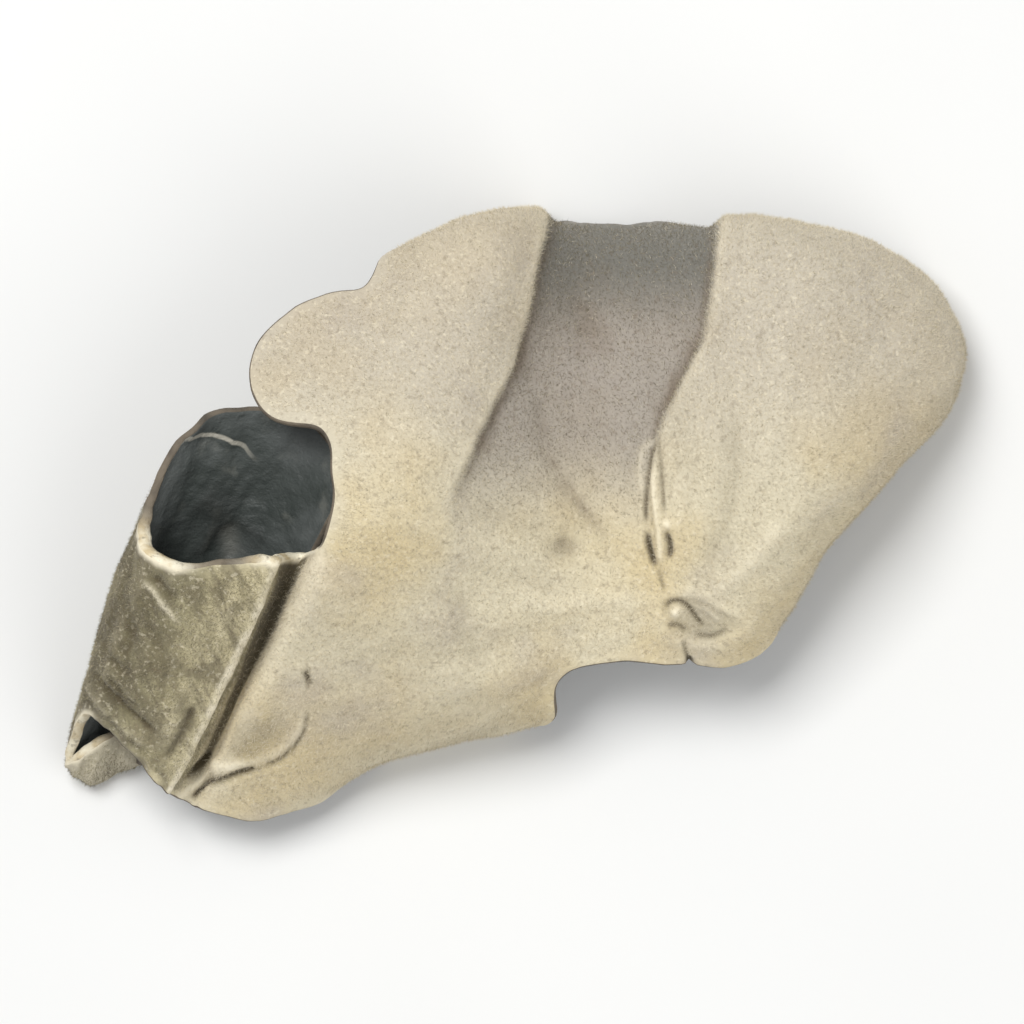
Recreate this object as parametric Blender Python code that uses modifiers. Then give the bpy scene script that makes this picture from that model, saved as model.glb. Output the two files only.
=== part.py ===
"""A dried wood ear mushroom, lying hollow side down.

It is one thin sheet of dried flesh. The broad right part, the lamina, bulges upwards and its
margins turn down to the surface that it lies on. The left part is rolled into a funnel that
rises towards its open mouth, and a deep pleat divides the funnel from the lamina.
X runs across the lamina, Y towards the mouth and Z up. The shape is laid out in millimetres.
"""

import math

import bmesh
import bpy
import numpy as np
from mathutils import Vector
from mathutils.geometry import delaunay_2d_cdt

MM = 0.001
THICKNESS = 1.15
MIDDLE = (0.83, 1.2)  # the middle of the whole outline, which becomes the origin
GROUND_SIDE = 90.0
GROUND_DEPTH = 30.0

NET = 1.3  # spacing of the points of the sheet
NET_CLEARANCE = 0.6 * NET  # least distance of an inner point from the outline
SEAM_GAP = 0.02  # points closer than this are one
BROW_STEPS = 40  # points of the smooth brow between two stations

# The shoulder is the line where the lamina dips into the pleat, seen from above.
SHOULDER_LOW = np.array((-19.5, -18.3))
SHOULDER_TOP = np.array((-11.4, -1.3))
SHOULDER_LENGTH = float(np.linalg.norm(SHOULDER_TOP - SHOULDER_LOW))
UP_FUNNEL = (SHOULDER_TOP - SHOULDER_LOW) / SHOULDER_LENGTH
LEFTWARDS = np.array((-UP_FUNNEL[1], UP_FUNNEL[0]))

# Heights of the lamina at places seen from above: x, y, z.
LAMINA_HEIGHTS = np.array(
    (
        (-19.5, -18.3, 4.6),  # foot of the shoulder
        (-15.4, -9.8, 11.0),
        (-11.4, -1.3, 17.2),  # top of the shoulder, beside the mouth
        (-10.8, 4.0, 17.8),
        (-14.6, 11.0, 15.0),  # small lobe behind the mouth
        (-8.0, 14.0, 14.0),
        (0.5, 15.5, 12.6),
        (0.5, 21.0, 12.0),
        (5.5, 14.0, 6.4),
        (6.0, 21.0, 4.6),
        (10.0, 14.0, 7.6),
        (17.0, 14.0, 12.0),
        (16.0, 21.0, 10.6),
        (25.0, 12.0, 9.4),
        (30.0, 16.0, 7.4),
        (-4.0, 5.0, 16.6),  # crest of the first bulge
        (-4.0, -4.0, 13.8),
        (-9.0, -11.0, 9.6),
        (-1.0, -10.0, 9.6),
        (5.0, 7.5, 9.0),  # valley
        (6.0, 0.5, 9.4),
        (6.5, -6.0, 9.0),
        (11.7, -5.5, 9.2),  # attachment scar
        (18.0, 6.0, 13.4),  # crest of the second bulge
        (16.0, -1.0, 11.6),
    )
)

# The brow is the closed line where the lamina starts to turn down: x, y, how far it turns in
# degrees, and how far the sheet goes on past the brow.
BROW = (
    (-8.8, 0.9, 0, 2.0),
    (-8.8, 4.6, 5, 2.0),
    (-10.2, 7.5, 12, 1.3),
    (-12.8, 9.8, 25, 3.4),  # small lobe behind the mouth
    (-10.9, 11.6, 56, 3.6),
    (-7.0, 12.6, 72, 3.9),
    (-2.6, 14.8, 88, 10.0),
    (1.0, 16.2, 92, 13.0),
    (4.4, 15.8, 74, 7.6),
    (8.0, 15.4, 60, 6.4),
    (14.0, 15.6, 86, 10.5),
    (21.0, 15.0, 92, 9.5),
    (25.6, 11.6, 88, 10.4),
    (22.4, 6.8, 98, 11.0),
    (18.0, 1.6, 102, 10.0),
    (14.8, -3.8, 96, 7.0),
    (12.0, -6.0, 60, 3.0),  # the notch
    (3.4, -7.0, 46, 2.4),
    (-0.6, -8.8, 96, 9.4),
    (-5.0, -9.9, 100, 11.0),
    (-10.0, -11.2, 92, 8.2),
    (-15.2, -14.0, 70, 5.4),
    (-19.4, -17.0, 30, 2.5),
    (-17.6, -10.0, 0, 2.0),
    (-13.0, -2.0, 0, 2.0),
)
TURN_LENGTH = 7.0  # length of sheet over which it turns
MARGIN_STATIONS = 21.6  # the margin follows this many stations of the brow

# Sizes of the pleat and the funnel, at the low end of the shoulder and at its top.
PLEAT_WIDTH = (2.5, 2.4)
PLEAT_DEPTH = (1.5, 3.8)
PLEAT_GIRTH = 10.0
HANDLE = 4 / 3  # a Bezier arch is three quarters as deep as its handles are long
RIDGE_HEIGHT = (5.6, 18.0)
FUNNEL_HALF_WIDTH = (4.35, 5.75)
FUNNEL_HALF_HEIGHT = (3.35, 5.4)
FUNNEL_GIRTH = 27.0
RIDGE_ANGLE = 50.0
FREE_EDGE_ANGLE = 340.0
# Where the sheet ends at the mouth and at the low end: angle round the funnel, place along it.
MOUTH_END = (
    (50, -1.8),
    (60, -2.2),
    (84, -3.4),
    (105, -4.7),
    (125, -5.1),
    (147, -4.8),
    (165, -3.8),
    (180, -2.2),
    (194, 0.5),
    (207, 2.4),
    (222, 4.4),
    (254, 6.4),
    (280, 7.3),
    (305, 6.6),
    (350, 4.0),
)
LOW_END = (
    (50, -18.8),
    (88, -17.7),
    (120, -16.7),
    (143, -16.2),
    (162, -16.6),
    (180, -18.8),
    (192, -21.2),
    (205, -23.4),
    (225, -24.6),
    (242, -24.8),
    (262, -22.4),
    (285, -17.6),
    (310, -16.0),
    (350, -15.0),
)
# The lower wall of the funnel folds up and back over its low end, more and more between two
# angles: angle round the funnel, where the fold starts.
FOLD_STARTS = ((178, -18.6), (215, -19.4), (240, -19.4), (262, -18.0), (285, -16.8))
FOLD_RADIUS = 1.6
FOLD_TURN = math.radians(150.0)
FOLD_ANGLES = (176.0, 188.0)


def thin_plate(places, heights):
    """A function that gives the height of the smoothest surface through the given heights."""

    def kernel(squared):
        return 0.5 * squared * np.log(squared + 1e-9)

    def squared_distances(points):
        return ((points[:, None, :] - places[None, :, :]) ** 2).sum(axis=2)

    count = len(places)
    system = np.zeros((count + 3, count + 3))
    system[:count, :count] = kernel(squared_distances(places))
    system[:count, count] = 1.0
    system[:count, count + 1 :] = places
    system[count:, :count] = system[:count, count:].T
    weights = np.linalg.solve(system, np.concatenate((heights, np.zeros(3))))

    def height(points):
        bend = kernel(squared_distances(points)) @ weights[:count]
        return bend + weights[count] + points @ weights[count + 1 :]

    return height


def smooth_line(points, steps, closed=False):
    """Points of a Catmull-Rom curve through a row of points, so many to each stretch."""
    points = np.array(points, float)
    if closed:
        padded = np.vstack((points[-1], points, points[:2]))
    else:
        padded = np.vstack((2 * points[0] - points[1], points, 2 * points[-1] - points[-2]))
    shares = np.linspace(0.0, 1.0, steps, endpoint=False)[:, None]
    stretches = []
    for before, start, end, after in zip(padded, padded[1:], padded[2:], padded[3:]):
        stretches.append(
            start
            + (end - before) * shares / 2
            + (2 * before - 5 * start + 4 * end - after) * shares**2 / 2
            + (3 * start - before - 3 * end + after) * shares**3 / 2
        )
    if not closed:
        stretches.append(points[-1:])
    return np.vstack(stretches)


def even_line(line, spacing):
    """Evenly spaced points along a line of many points."""
    steps = np.linalg.norm(np.diff(line, axis=0), axis=1)
    travelled = np.concatenate(([0.0], steps.cumsum()))
    count = max(2, round(travelled[-1] / spacing))
    marks = np.linspace(0.0, travelled[-1], count + 1)
    return np.column_stack([np.interp(marks, travelled, line[:, axis]) for axis in (0, 1)])


brow = smooth_line(BROW, BROW_STEPS, closed=True)
brow_way = np.roll(brow[:, :2], -1, axis=0) - np.roll(brow[:, :2], 1, axis=0)
brow_out = np.column_stack((-brow_way[:, 1], brow_way[:, 0]))
brow_out /= np.linalg.norm(brow_out, axis=1)[:, None]
lamina_height = thin_plate(LAMINA_HEIGHTS[:, :2], LAMINA_HEIGHTS[:, 2])


def lamina_points(flat):
    """The lamina's points in space, from points of the flat sheet."""
    nearest = ((flat[:, None, :] - brow[None, :, :2]) ** 2).sum(axis=2).argmin(axis=1)
    foot = brow[nearest, :2]
    beyond = ((flat - foot) * brow_out[nearest]).sum(axis=1).clip(0.0)
    outward = flat - foot
    outward /= np.linalg.norm(outward, axis=1).clip(1e-9)[:, None]
    full_turn = np.radians(brow[nearest, 2]).clip(1e-4)
    radius = TURN_LENGTH / full_turn
    turned = full_turn * (beyond / TURN_LENGTH).clip(0.0, 1.0)
    straight = (beyond - TURN_LENGTH).clip(0.0)
    reach = radius * np.sin(turned) + straight * np.cos(full_turn)
    drop = radius * (1.0 - np.cos(turned)) + straight * np.sin(full_turn)
    place = np.where((beyond > 0.0)[:, None], foot + outward * reach[:, None], flat)
    return np.column_stack((place, lamina_height(place) - drop))


def between(pair, along):
    """A size of the funnel at a distance along it, from its values at the low end and the mouth."""
    return pair[0] + (pair[1] - pair[0]) * (along / SHOULDER_LENGTH + 1.0)


def ridge_points(along):
    """The crest where the pleat's left wall meets the funnel."""
    top = SHOULDER_TOP + np.outer(along, UP_FUNNEL)
    place = top + LEFTWARDS * between(PLEAT_WIDTH, along)[:, None]
    return np.column_stack((place, between(RIDGE_HEIGHT, along)))


def pleat_points(share, along):
    """Points of the pleat: share runs from 0 on the shoulder to 1 on the ridge."""
    shoulder = lamina_points(SHOULDER_TOP + np.outer(along, UP_FUNNEL))
    ridge = ridge_points(along)
    pull = np.zeros_like(shoulder)
    pull[:, 2] = -HANDLE * between(PLEAT_DEPTH, along)
    s = share[:, None]
    return (
        shoulder * (1 - s) ** 3
        + 3 * (shoulder + pull) * s * (1 - s) ** 2
        + 3 * (ridge + pull) * s**2 * (1 - s)
        + ridge * s**3
    )


def funnel_points(angle, along):
    """Points of the funnel, at an angle round it that grows from the ridge over the top."""
    fold_start = np.interp(angle, *np.array(FOLD_STARTS, float).T)
    folded = (fold_start - along) * np.interp(angle, FOLD_ANGLES, (0.0, 1.0))
    bent = folded.clip(0.0, FOLD_RADIUS * FOLD_TURN)
    flap = (folded - bent).clip(0.0)
    along = along + folded.clip(0.0) - FOLD_RADIUS * np.sin(bent / FOLD_RADIUS)
    along = along - flap * math.cos(FOLD_TURN)
    lift = FOLD_RADIUS * (1.0 - np.cos(bent / FOLD_RADIUS)) + flap * math.sin(FOLD_TURN)
    ridge_turn, turn = math.radians(RIDGE_ANGLE), np.radians(angle)
    half_width = between(FUNNEL_HALF_WIDTH, along)
    half_height = between(FUNNEL_HALF_HEIGHT, along)
    leftwards = half_width * (math.cos(ridge_turn) - np.cos(turn))
    points = ridge_points(along)
    points[:, :2] += LEFTWARDS * leftwards[:, None]
    points[:, 2] += half_height * (np.sin(turn) - math.sin(ridge_turn)) + lift
    return points


def roll_net(rows):
    """The pleat and the funnel as a grid of points, and the grid's number of columns."""
    mouth_angles, mouth_ends = smooth_line(MOUTH_END, 8).T
    low_angles, low_ends = smooth_line(LOW_END, 8).T
    pleat_shares = np.linspace(0.0, 1.0, round(PLEAT_GIRTH / NET) + 1)
    funnel_angles = np.linspace(RIDGE_ANGLE, FREE_EDGE_ANGLE, round(FUNNEL_GIRTH / NET) + 1)[1:]
    columns = []
    for share in pleat_shares:
        low = -SHOULDER_LENGTH + share * (LOW_END[0][1] + SHOULDER_LENGTH)
        along = np.linspace(low, share * MOUTH_END[0][1], rows)
        columns.append(pleat_points(np.full(rows, share), along))
    for angle in funnel_angles:
        low = np.interp(angle, low_angles, low_ends)
        high = np.interp(angle, mouth_angles, mouth_ends)
        columns.append(funnel_points(np.full(rows, angle), np.linspace(low, high, rows)))
    return np.concatenate(columns), len(columns)


def lamina_net(seam):
    """The lamina's flat points and triangles. The first points are the seam, low end first."""
    margin = (brow[:, :2] + brow_out * brow[:, 3:])[: round(MARGIN_STATIONS * BROW_STEPS)]
    margin = even_line(np.vstack((SHOULDER_TOP, margin, SHOULDER_LOW)), NET)[1:-1]
    outline = np.vstack((seam, margin))
    low, high = outline.min(axis=0), outline.max(axis=0)
    inner = []
    for row, y in enumerate(np.arange(low[1], high[1], NET * math.sqrt(0.75))):
        for x in np.arange(low[0] + (row % 2) * NET / 2, high[0], NET):
            inner.append((x, y))
    inner = np.array(inner)
    gap = np.sqrt(((inner[:, None, :] - outline[None, :, :]) ** 2).sum(axis=2).min(axis=1))
    points = np.vstack((outline, inner[gap > NET_CLEARANCE]))
    count = len(outline)
    edges = [(i, (i + 1) % count) for i in range(count)]
    flat, _, faces, *_ = delaunay_2d_cdt([Vector(p) for p in points], edges, [], 1, 1e-6)
    return np.array([tuple(p) for p in flat]), faces


def sheet_mesh():
    """The sheet without its thickness, beige side out."""
    rows = round(SHOULDER_LENGTH / NET) + 1
    seam_shares = np.linspace(0.0, 1.0, rows)[:, None]
    seam = SHOULDER_LOW + (SHOULDER_TOP - SHOULDER_LOW) * seam_shares
    roll, columns = roll_net(rows)
    flat, lamina_faces = lamina_net(seam)
    lamina = lamina_points(flat)

    net = bmesh.new()
    roll_verts = [net.verts.new(p * MM) for p in roll]
    for column in range(columns - 1):
        for row in range(rows - 1):
            corner = column * rows + row
            loop = (corner, corner + 1, corner + rows + 1, corner + rows)
            net.faces.new([roll_verts[i] for i in loop])
    lamina_verts = [net.verts.new(p * MM) for p in lamina]
    for face in lamina_faces:
        net.faces.new([lamina_verts[i] for i in face])
    unused = [vert for vert in net.verts if not vert.link_faces]
    bmesh.ops.delete(net, geom=unused, context="VERTS")
    bmesh.ops.remove_doubles(net, verts=net.verts, dist=SEAM_GAP * MM)
    bmesh.ops.recalc_face_normals(net, faces=net.faces)
    mesh = bpy.data.meshes.new("wood_ear")
    net.to_mesh(mesh)
    net.free()
    return mesh


def dried_flesh():
    """Beige, matt and dry."""
    material = bpy.data.materials.new("dried_flesh")
    material.use_nodes = True
    surface = material.node_tree.nodes["Principled BSDF"]
    surface.inputs["Base Color"].default_value = (0.50, 0.42, 0.31, 1.0)
    surface.inputs["Roughness"].default_value = 0.85
    surface.inputs["Metallic"].default_value = 0.0
    return material


def ground_cutter(collection):
    """All that lies below the surface that the mushroom rests on."""
    bpy.ops.mesh.primitive_cube_add(size=1.0)
    ground = bpy.context.object
    ground.name = "ground_cutter"
    ground.scale = (GROUND_SIDE * MM, GROUND_SIDE * MM, GROUND_DEPTH * MM)
    ground.location.z = -GROUND_DEPTH * MM / 2
    ground.hide_render = True
    ground.display_type = "WIRE"
    for other in ground.users_collection:
        other.objects.unlink(ground)
    collection.objects.link(ground)
    return ground


def new_collection(name):
    """A collection in the scene."""
    collection = bpy.data.collections.new(name)
    bpy.context.scene.collection.children.link(collection)
    return collection


def main():
    """Builds the mushroom in a scene of its own."""
    for obj in list(bpy.data.objects):
        bpy.data.objects.remove(obj)
    ear = bpy.data.objects.new("wood_ear", sheet_mesh())
    ear.data.materials.append(dried_flesh())
    new_collection("dried_wood_ear").objects.link(ear)
    ear.location = [-MM * middle for middle in (*MIDDLE, 0.0)]

    wall = ear.modifiers.new("thickness", "SOLIDIFY")
    wall.thickness = THICKNESS * MM
    wall.offset = 0.0
    foot = ear.modifiers.new("flat_feet", "BOOLEAN")
    foot.operation = "DIFFERENCE"
    foot.solver = "EXACT"
    foot.object = ground_cutter(new_collection("cutters"))
    ear.data.shade_smooth()


main()
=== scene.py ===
"""The looks of a dried wood ear mushroom, lying hollow side down.

The mushroom is one thin sheet of dried flesh. The broad right part, the lamina, bulges upwards
and its margins turn down. The left part is rolled into a funnel, and a deep pleat divides the
two. The sheet is laid out again on the lines of its solid, at a fine spacing. It gets the
wrinkles, creases and thinning margin of dried flesh, a beige back, a dark smooth hollow side and
a pale margin, and short down stands all over its back.
The shape is laid out in millimetres. X runs across the lamina, Y towards the mouth and Z up.
"""

import logging
import math
from dataclasses import dataclass
from enum import Enum, IntEnum
from functools import partial

import bpy
import numpy as np
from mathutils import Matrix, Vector
from mathutils.geometry import delaunay_2d_cdt
from mathutils.kdtree import KDTree


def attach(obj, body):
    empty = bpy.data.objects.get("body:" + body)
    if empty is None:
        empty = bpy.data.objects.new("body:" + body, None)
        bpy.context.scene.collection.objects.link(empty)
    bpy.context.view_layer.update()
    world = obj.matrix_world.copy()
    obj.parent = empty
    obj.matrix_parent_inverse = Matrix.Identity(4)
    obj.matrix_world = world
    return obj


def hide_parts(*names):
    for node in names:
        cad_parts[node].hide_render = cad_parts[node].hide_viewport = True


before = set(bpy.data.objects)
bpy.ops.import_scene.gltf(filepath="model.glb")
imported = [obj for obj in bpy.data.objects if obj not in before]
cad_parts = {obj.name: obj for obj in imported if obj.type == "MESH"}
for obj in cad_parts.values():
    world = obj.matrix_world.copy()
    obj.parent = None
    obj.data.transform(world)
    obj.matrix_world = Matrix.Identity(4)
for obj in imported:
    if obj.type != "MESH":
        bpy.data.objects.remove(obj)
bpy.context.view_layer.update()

log = logging.getLogger("wood_ear")

MM = 0.001
MIDDLE = (0.83, 1.2)  # the middle of the whole outline, which becomes the origin
BODY = "root"
NODE = "wood_ear"

Array = np.ndarray
Colour = tuple[float, float, float, float]
Pair = tuple[float, float]
Line = tuple[Pair, ...]
Socket = bpy.types.NodeSocket
Paint = Colour | Socket
Share = float | Socket


class Zone(IntEnum):
    """The stretches of the sheet, from right to left."""

    LAMINA = 0
    PLEAT = 1
    FUNNEL = 2


class Side(Enum):
    """The two sides of the sheet."""

    BACK = "back"
    HOLLOW = "hollow"


def to_metres(points: Array) -> Array:
    """Laid-out millimetres as metres about the origin."""
    return (points - (*MIDDLE, 0.0)) * MM


def ease(values: Array, low: float, high: float) -> Array:
    """A smooth step.

    Args:
        values: Any values.
        low: Where the step starts, with 0.
        high: Where it ends, with 1. It may be below low.

    Returns:
        The step's height at each value.
    """
    share = np.clip((values - low) / (high - low), 0.0, 1.0)
    return share * share * (3.0 - 2.0 * share)


def bell(values: Array, width: float) -> Array:
    """1 where a value is 0, dying away over a width on either side."""
    return np.exp(-((values / width) ** 2))


def dying_ends(along: Array, start: float, end: float, overrun: float = 0.02) -> Array:
    """A strength that dies away at both ends of a line.

    Args:
        along: Shares of the line's length.
        start: Share of the length over which its start dies away.
        end: The same for its end.
        overrun: How far past either end it has died away.

    Returns:
        The strength, from 0 to 1.
    """
    return ease(along, -overrun, start) * ease(along, 1.0 + overrun, 1.0 - end)


def unit(vectors: Array) -> Array:
    """The same directions with a length of 1."""
    return vectors / np.linalg.norm(vectors, axis=1).clip(1e-12)[:, None]


def smooth_line(points: Array | Line, steps: int, closed: bool = False) -> Array:
    """Points of a Catmull-Rom curve through a row of points.

    Args:
        points: The row, with any number of coordinates each.
        steps: How many points each stretch gets.
        closed: Whether the curve goes back to its start.

    Returns:
        The curve's points.
    """
    points = np.array(points, float)
    if closed:
        padded = np.vstack((points[-1], points, points[:2]))
    else:
        padded = np.vstack((2 * points[0] - points[1], points, 2 * points[-1] - points[-2]))
    shares = np.linspace(0.0, 1.0, steps, endpoint=False)[:, None]
    stretches = []
    for before, start, end, after in zip(padded, padded[1:], padded[2:], padded[3:]):
        stretches.append(
            start
            + (end - before) * shares / 2
            + (2 * before - 5 * start + 4 * end - after) * shares**2 / 2
            + (3 * start - before - 3 * end + after) * shares**3 / 2
        )
    if not closed:
        stretches.append(points[-1:])
    return np.vstack(stretches)


def even_line(line: Array, spacing: float) -> Array:
    """Evenly spaced points along a line of many points.

    Args:
        line: The line's points, two coordinates each.
        spacing: About how far apart the new points are.

    Returns:
        The new points.
    """
    steps = np.linalg.norm(np.diff(line, axis=0), axis=1)
    travelled = np.concatenate(([0.0], steps.cumsum()))
    count = max(2, round(travelled[-1] / spacing))
    marks = np.linspace(0.0, travelled[-1], count + 1)
    return np.column_stack([np.interp(marks, travelled, line[:, axis]) for axis in (0, 1)])


def nearest_points(places: Array, targets: Array) -> tuple[Array, Array]:
    """The nearest target of each place.

    Args:
        places: Points of two coordinates.
        targets: Points of two coordinates.

    Returns:
        The targets' numbers, and their distances.
    """
    tree = KDTree(len(targets))
    for number, target in enumerate(targets):
        tree.insert((target[0], target[1], 0.0), number)
    tree.balance()
    found = [tree.find((place[0], place[1], 0.0)) for place in places]
    return np.array([one[1] for one in found]), np.array([one[2] for one in found])


def line_distance(places: Array, line: Array) -> tuple[Array, Array, Array]:
    """How places lie beside a line.

    Args:
        places: Points of two coordinates.
        line: The line's points.

    Returns:
        The distance to the line, the share of the line's length where it is nearest, and the
        side, 1 on its left and -1 on its right.
    """
    starts, ways = line[:-1], np.diff(line, axis=0)
    lengths = np.linalg.norm(ways, axis=1)
    marks = np.concatenate(([0.0], lengths.cumsum()))
    offsets = places[:, None, :] - starts[None, :, :]
    shares = ((offsets * ways).sum(axis=2) / lengths**2).clip(0.0, 1.0)
    gaps = offsets - shares[:, :, None] * ways
    distances = np.linalg.norm(gaps, axis=2)
    best = distances.argmin(axis=1)
    rows = np.arange(len(places))
    along = (marks[best] + shares[rows, best] * lengths[best]) / marks[-1]
    gap = gaps[rows, best]
    side = np.sign(ways[best, 0] * gap[:, 1] - ways[best, 1] * gap[:, 0])
    return distances[rows, best], along, side


@dataclass(frozen=True)
class Grain:
    """Smooth random swellings over a plane."""

    seed: int
    wavelength: float  # size of the largest ones
    octaves: int = 1  # how many times finer ones are added
    height: float = 1.0  # about how far they rise and sink
    cells: int = 64
    scale: float = 1.4  # brings the sum of the slopes to about 1

    def heights(self, places: Array) -> Array:
        """How high the plane stands.

        Args:
            places: Points of two coordinates.

        Returns:
            One height for each place.
        """
        chance = np.random.default_rng(self.seed)
        turns = chance.uniform(0.0, 2.0 * math.pi, (self.cells, self.cells))
        total, strength, wavelength = np.zeros(len(places)), self.scale, self.wavelength
        for _ in range(self.octaves):
            spots = places / wavelength + self.cells / 3
            corner = np.floor(spots).astype(int)
            share = spots - corner
            blend = share**3 * (share * (share * 6.0 - 15.0) + 10.0)
            for right in (0, 1):
                for up in (0, 1):
                    turn = turns[(corner[:, 0] + right) % self.cells, (corner[:, 1] + up) % self.cells]
                    slope = np.cos(turn) * (share[:, 0] - right) + np.sin(turn) * (share[:, 1] - up)
                    weight = np.abs(1 - right - blend[:, 0]) * np.abs(1 - up - blend[:, 1])
                    total += strength * weight * slope
            strength /= 2.0
            wavelength /= 2.0
        return self.height * total


@dataclass(frozen=True)
class ThinPlate:
    """The smoothest surface through given heights."""

    landmarks: tuple[tuple[float, float, float], ...]

    def kernel(self, squared: Array) -> Array:
        """The bend that one landmark adds, from squared distances."""
        return 0.5 * squared * np.log(squared + 1e-9)

    def squared_distances(self, points: Array, places: Array) -> Array:
        """Squared distances of every point to every place."""
        return ((points[:, None, :] - places[None, :, :]) ** 2).sum(axis=2)

    def height(self, points: Array) -> Array:
        """The surface's height.

        Args:
            points: Points of two coordinates.

        Returns:
            The heights there.
        """
        marks = np.array(self.landmarks)
        places, count = marks[:, :2], len(marks)
        system = np.zeros((count + 3, count + 3))
        system[:count, :count] = self.kernel(self.squared_distances(places, places))
        system[:count, count] = 1.0
        system[:count, count + 1 :] = places
        system[count:, :count] = system[:count, count:].T
        weights = np.linalg.solve(system, np.concatenate((marks[:, 2], np.zeros(3))))
        bend = self.kernel(self.squared_distances(points, places)) @ weights[:count]
        return bend + weights[count] + points @ weights[count + 1 :]


@dataclass(frozen=True)
class Shoulder:
    """The line where the lamina dips into the pleat, seen from above."""

    low: Pair = (-19.5, -18.3)
    top: Pair = (-11.4, -1.3)

    @property
    def length(self) -> float:
        """Its length."""
        return math.dist(self.low, self.top)

    @property
    def up_funnel(self) -> Array:
        """The direction from its low end to its top."""
        return (np.array(self.top) - np.array(self.low)) / self.length

    @property
    def leftwards(self) -> Array:
        """The direction across the funnel, away from the lamina."""
        return np.array((-self.up_funnel[1], self.up_funnel[0]))

    def seam(self, rows: int) -> Array:
        """Points along it, low end first."""
        shares = np.linspace(0.0, 1.0, rows)[:, None]
        return np.array(self.low) + (np.array(self.top) - np.array(self.low)) * shares

    def at(self, along: Array) -> Array:
        """Points at distances along it, 0 at its top."""
        return np.array(self.top) + np.outer(along, self.up_funnel)


SHOULDER = Shoulder()


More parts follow.
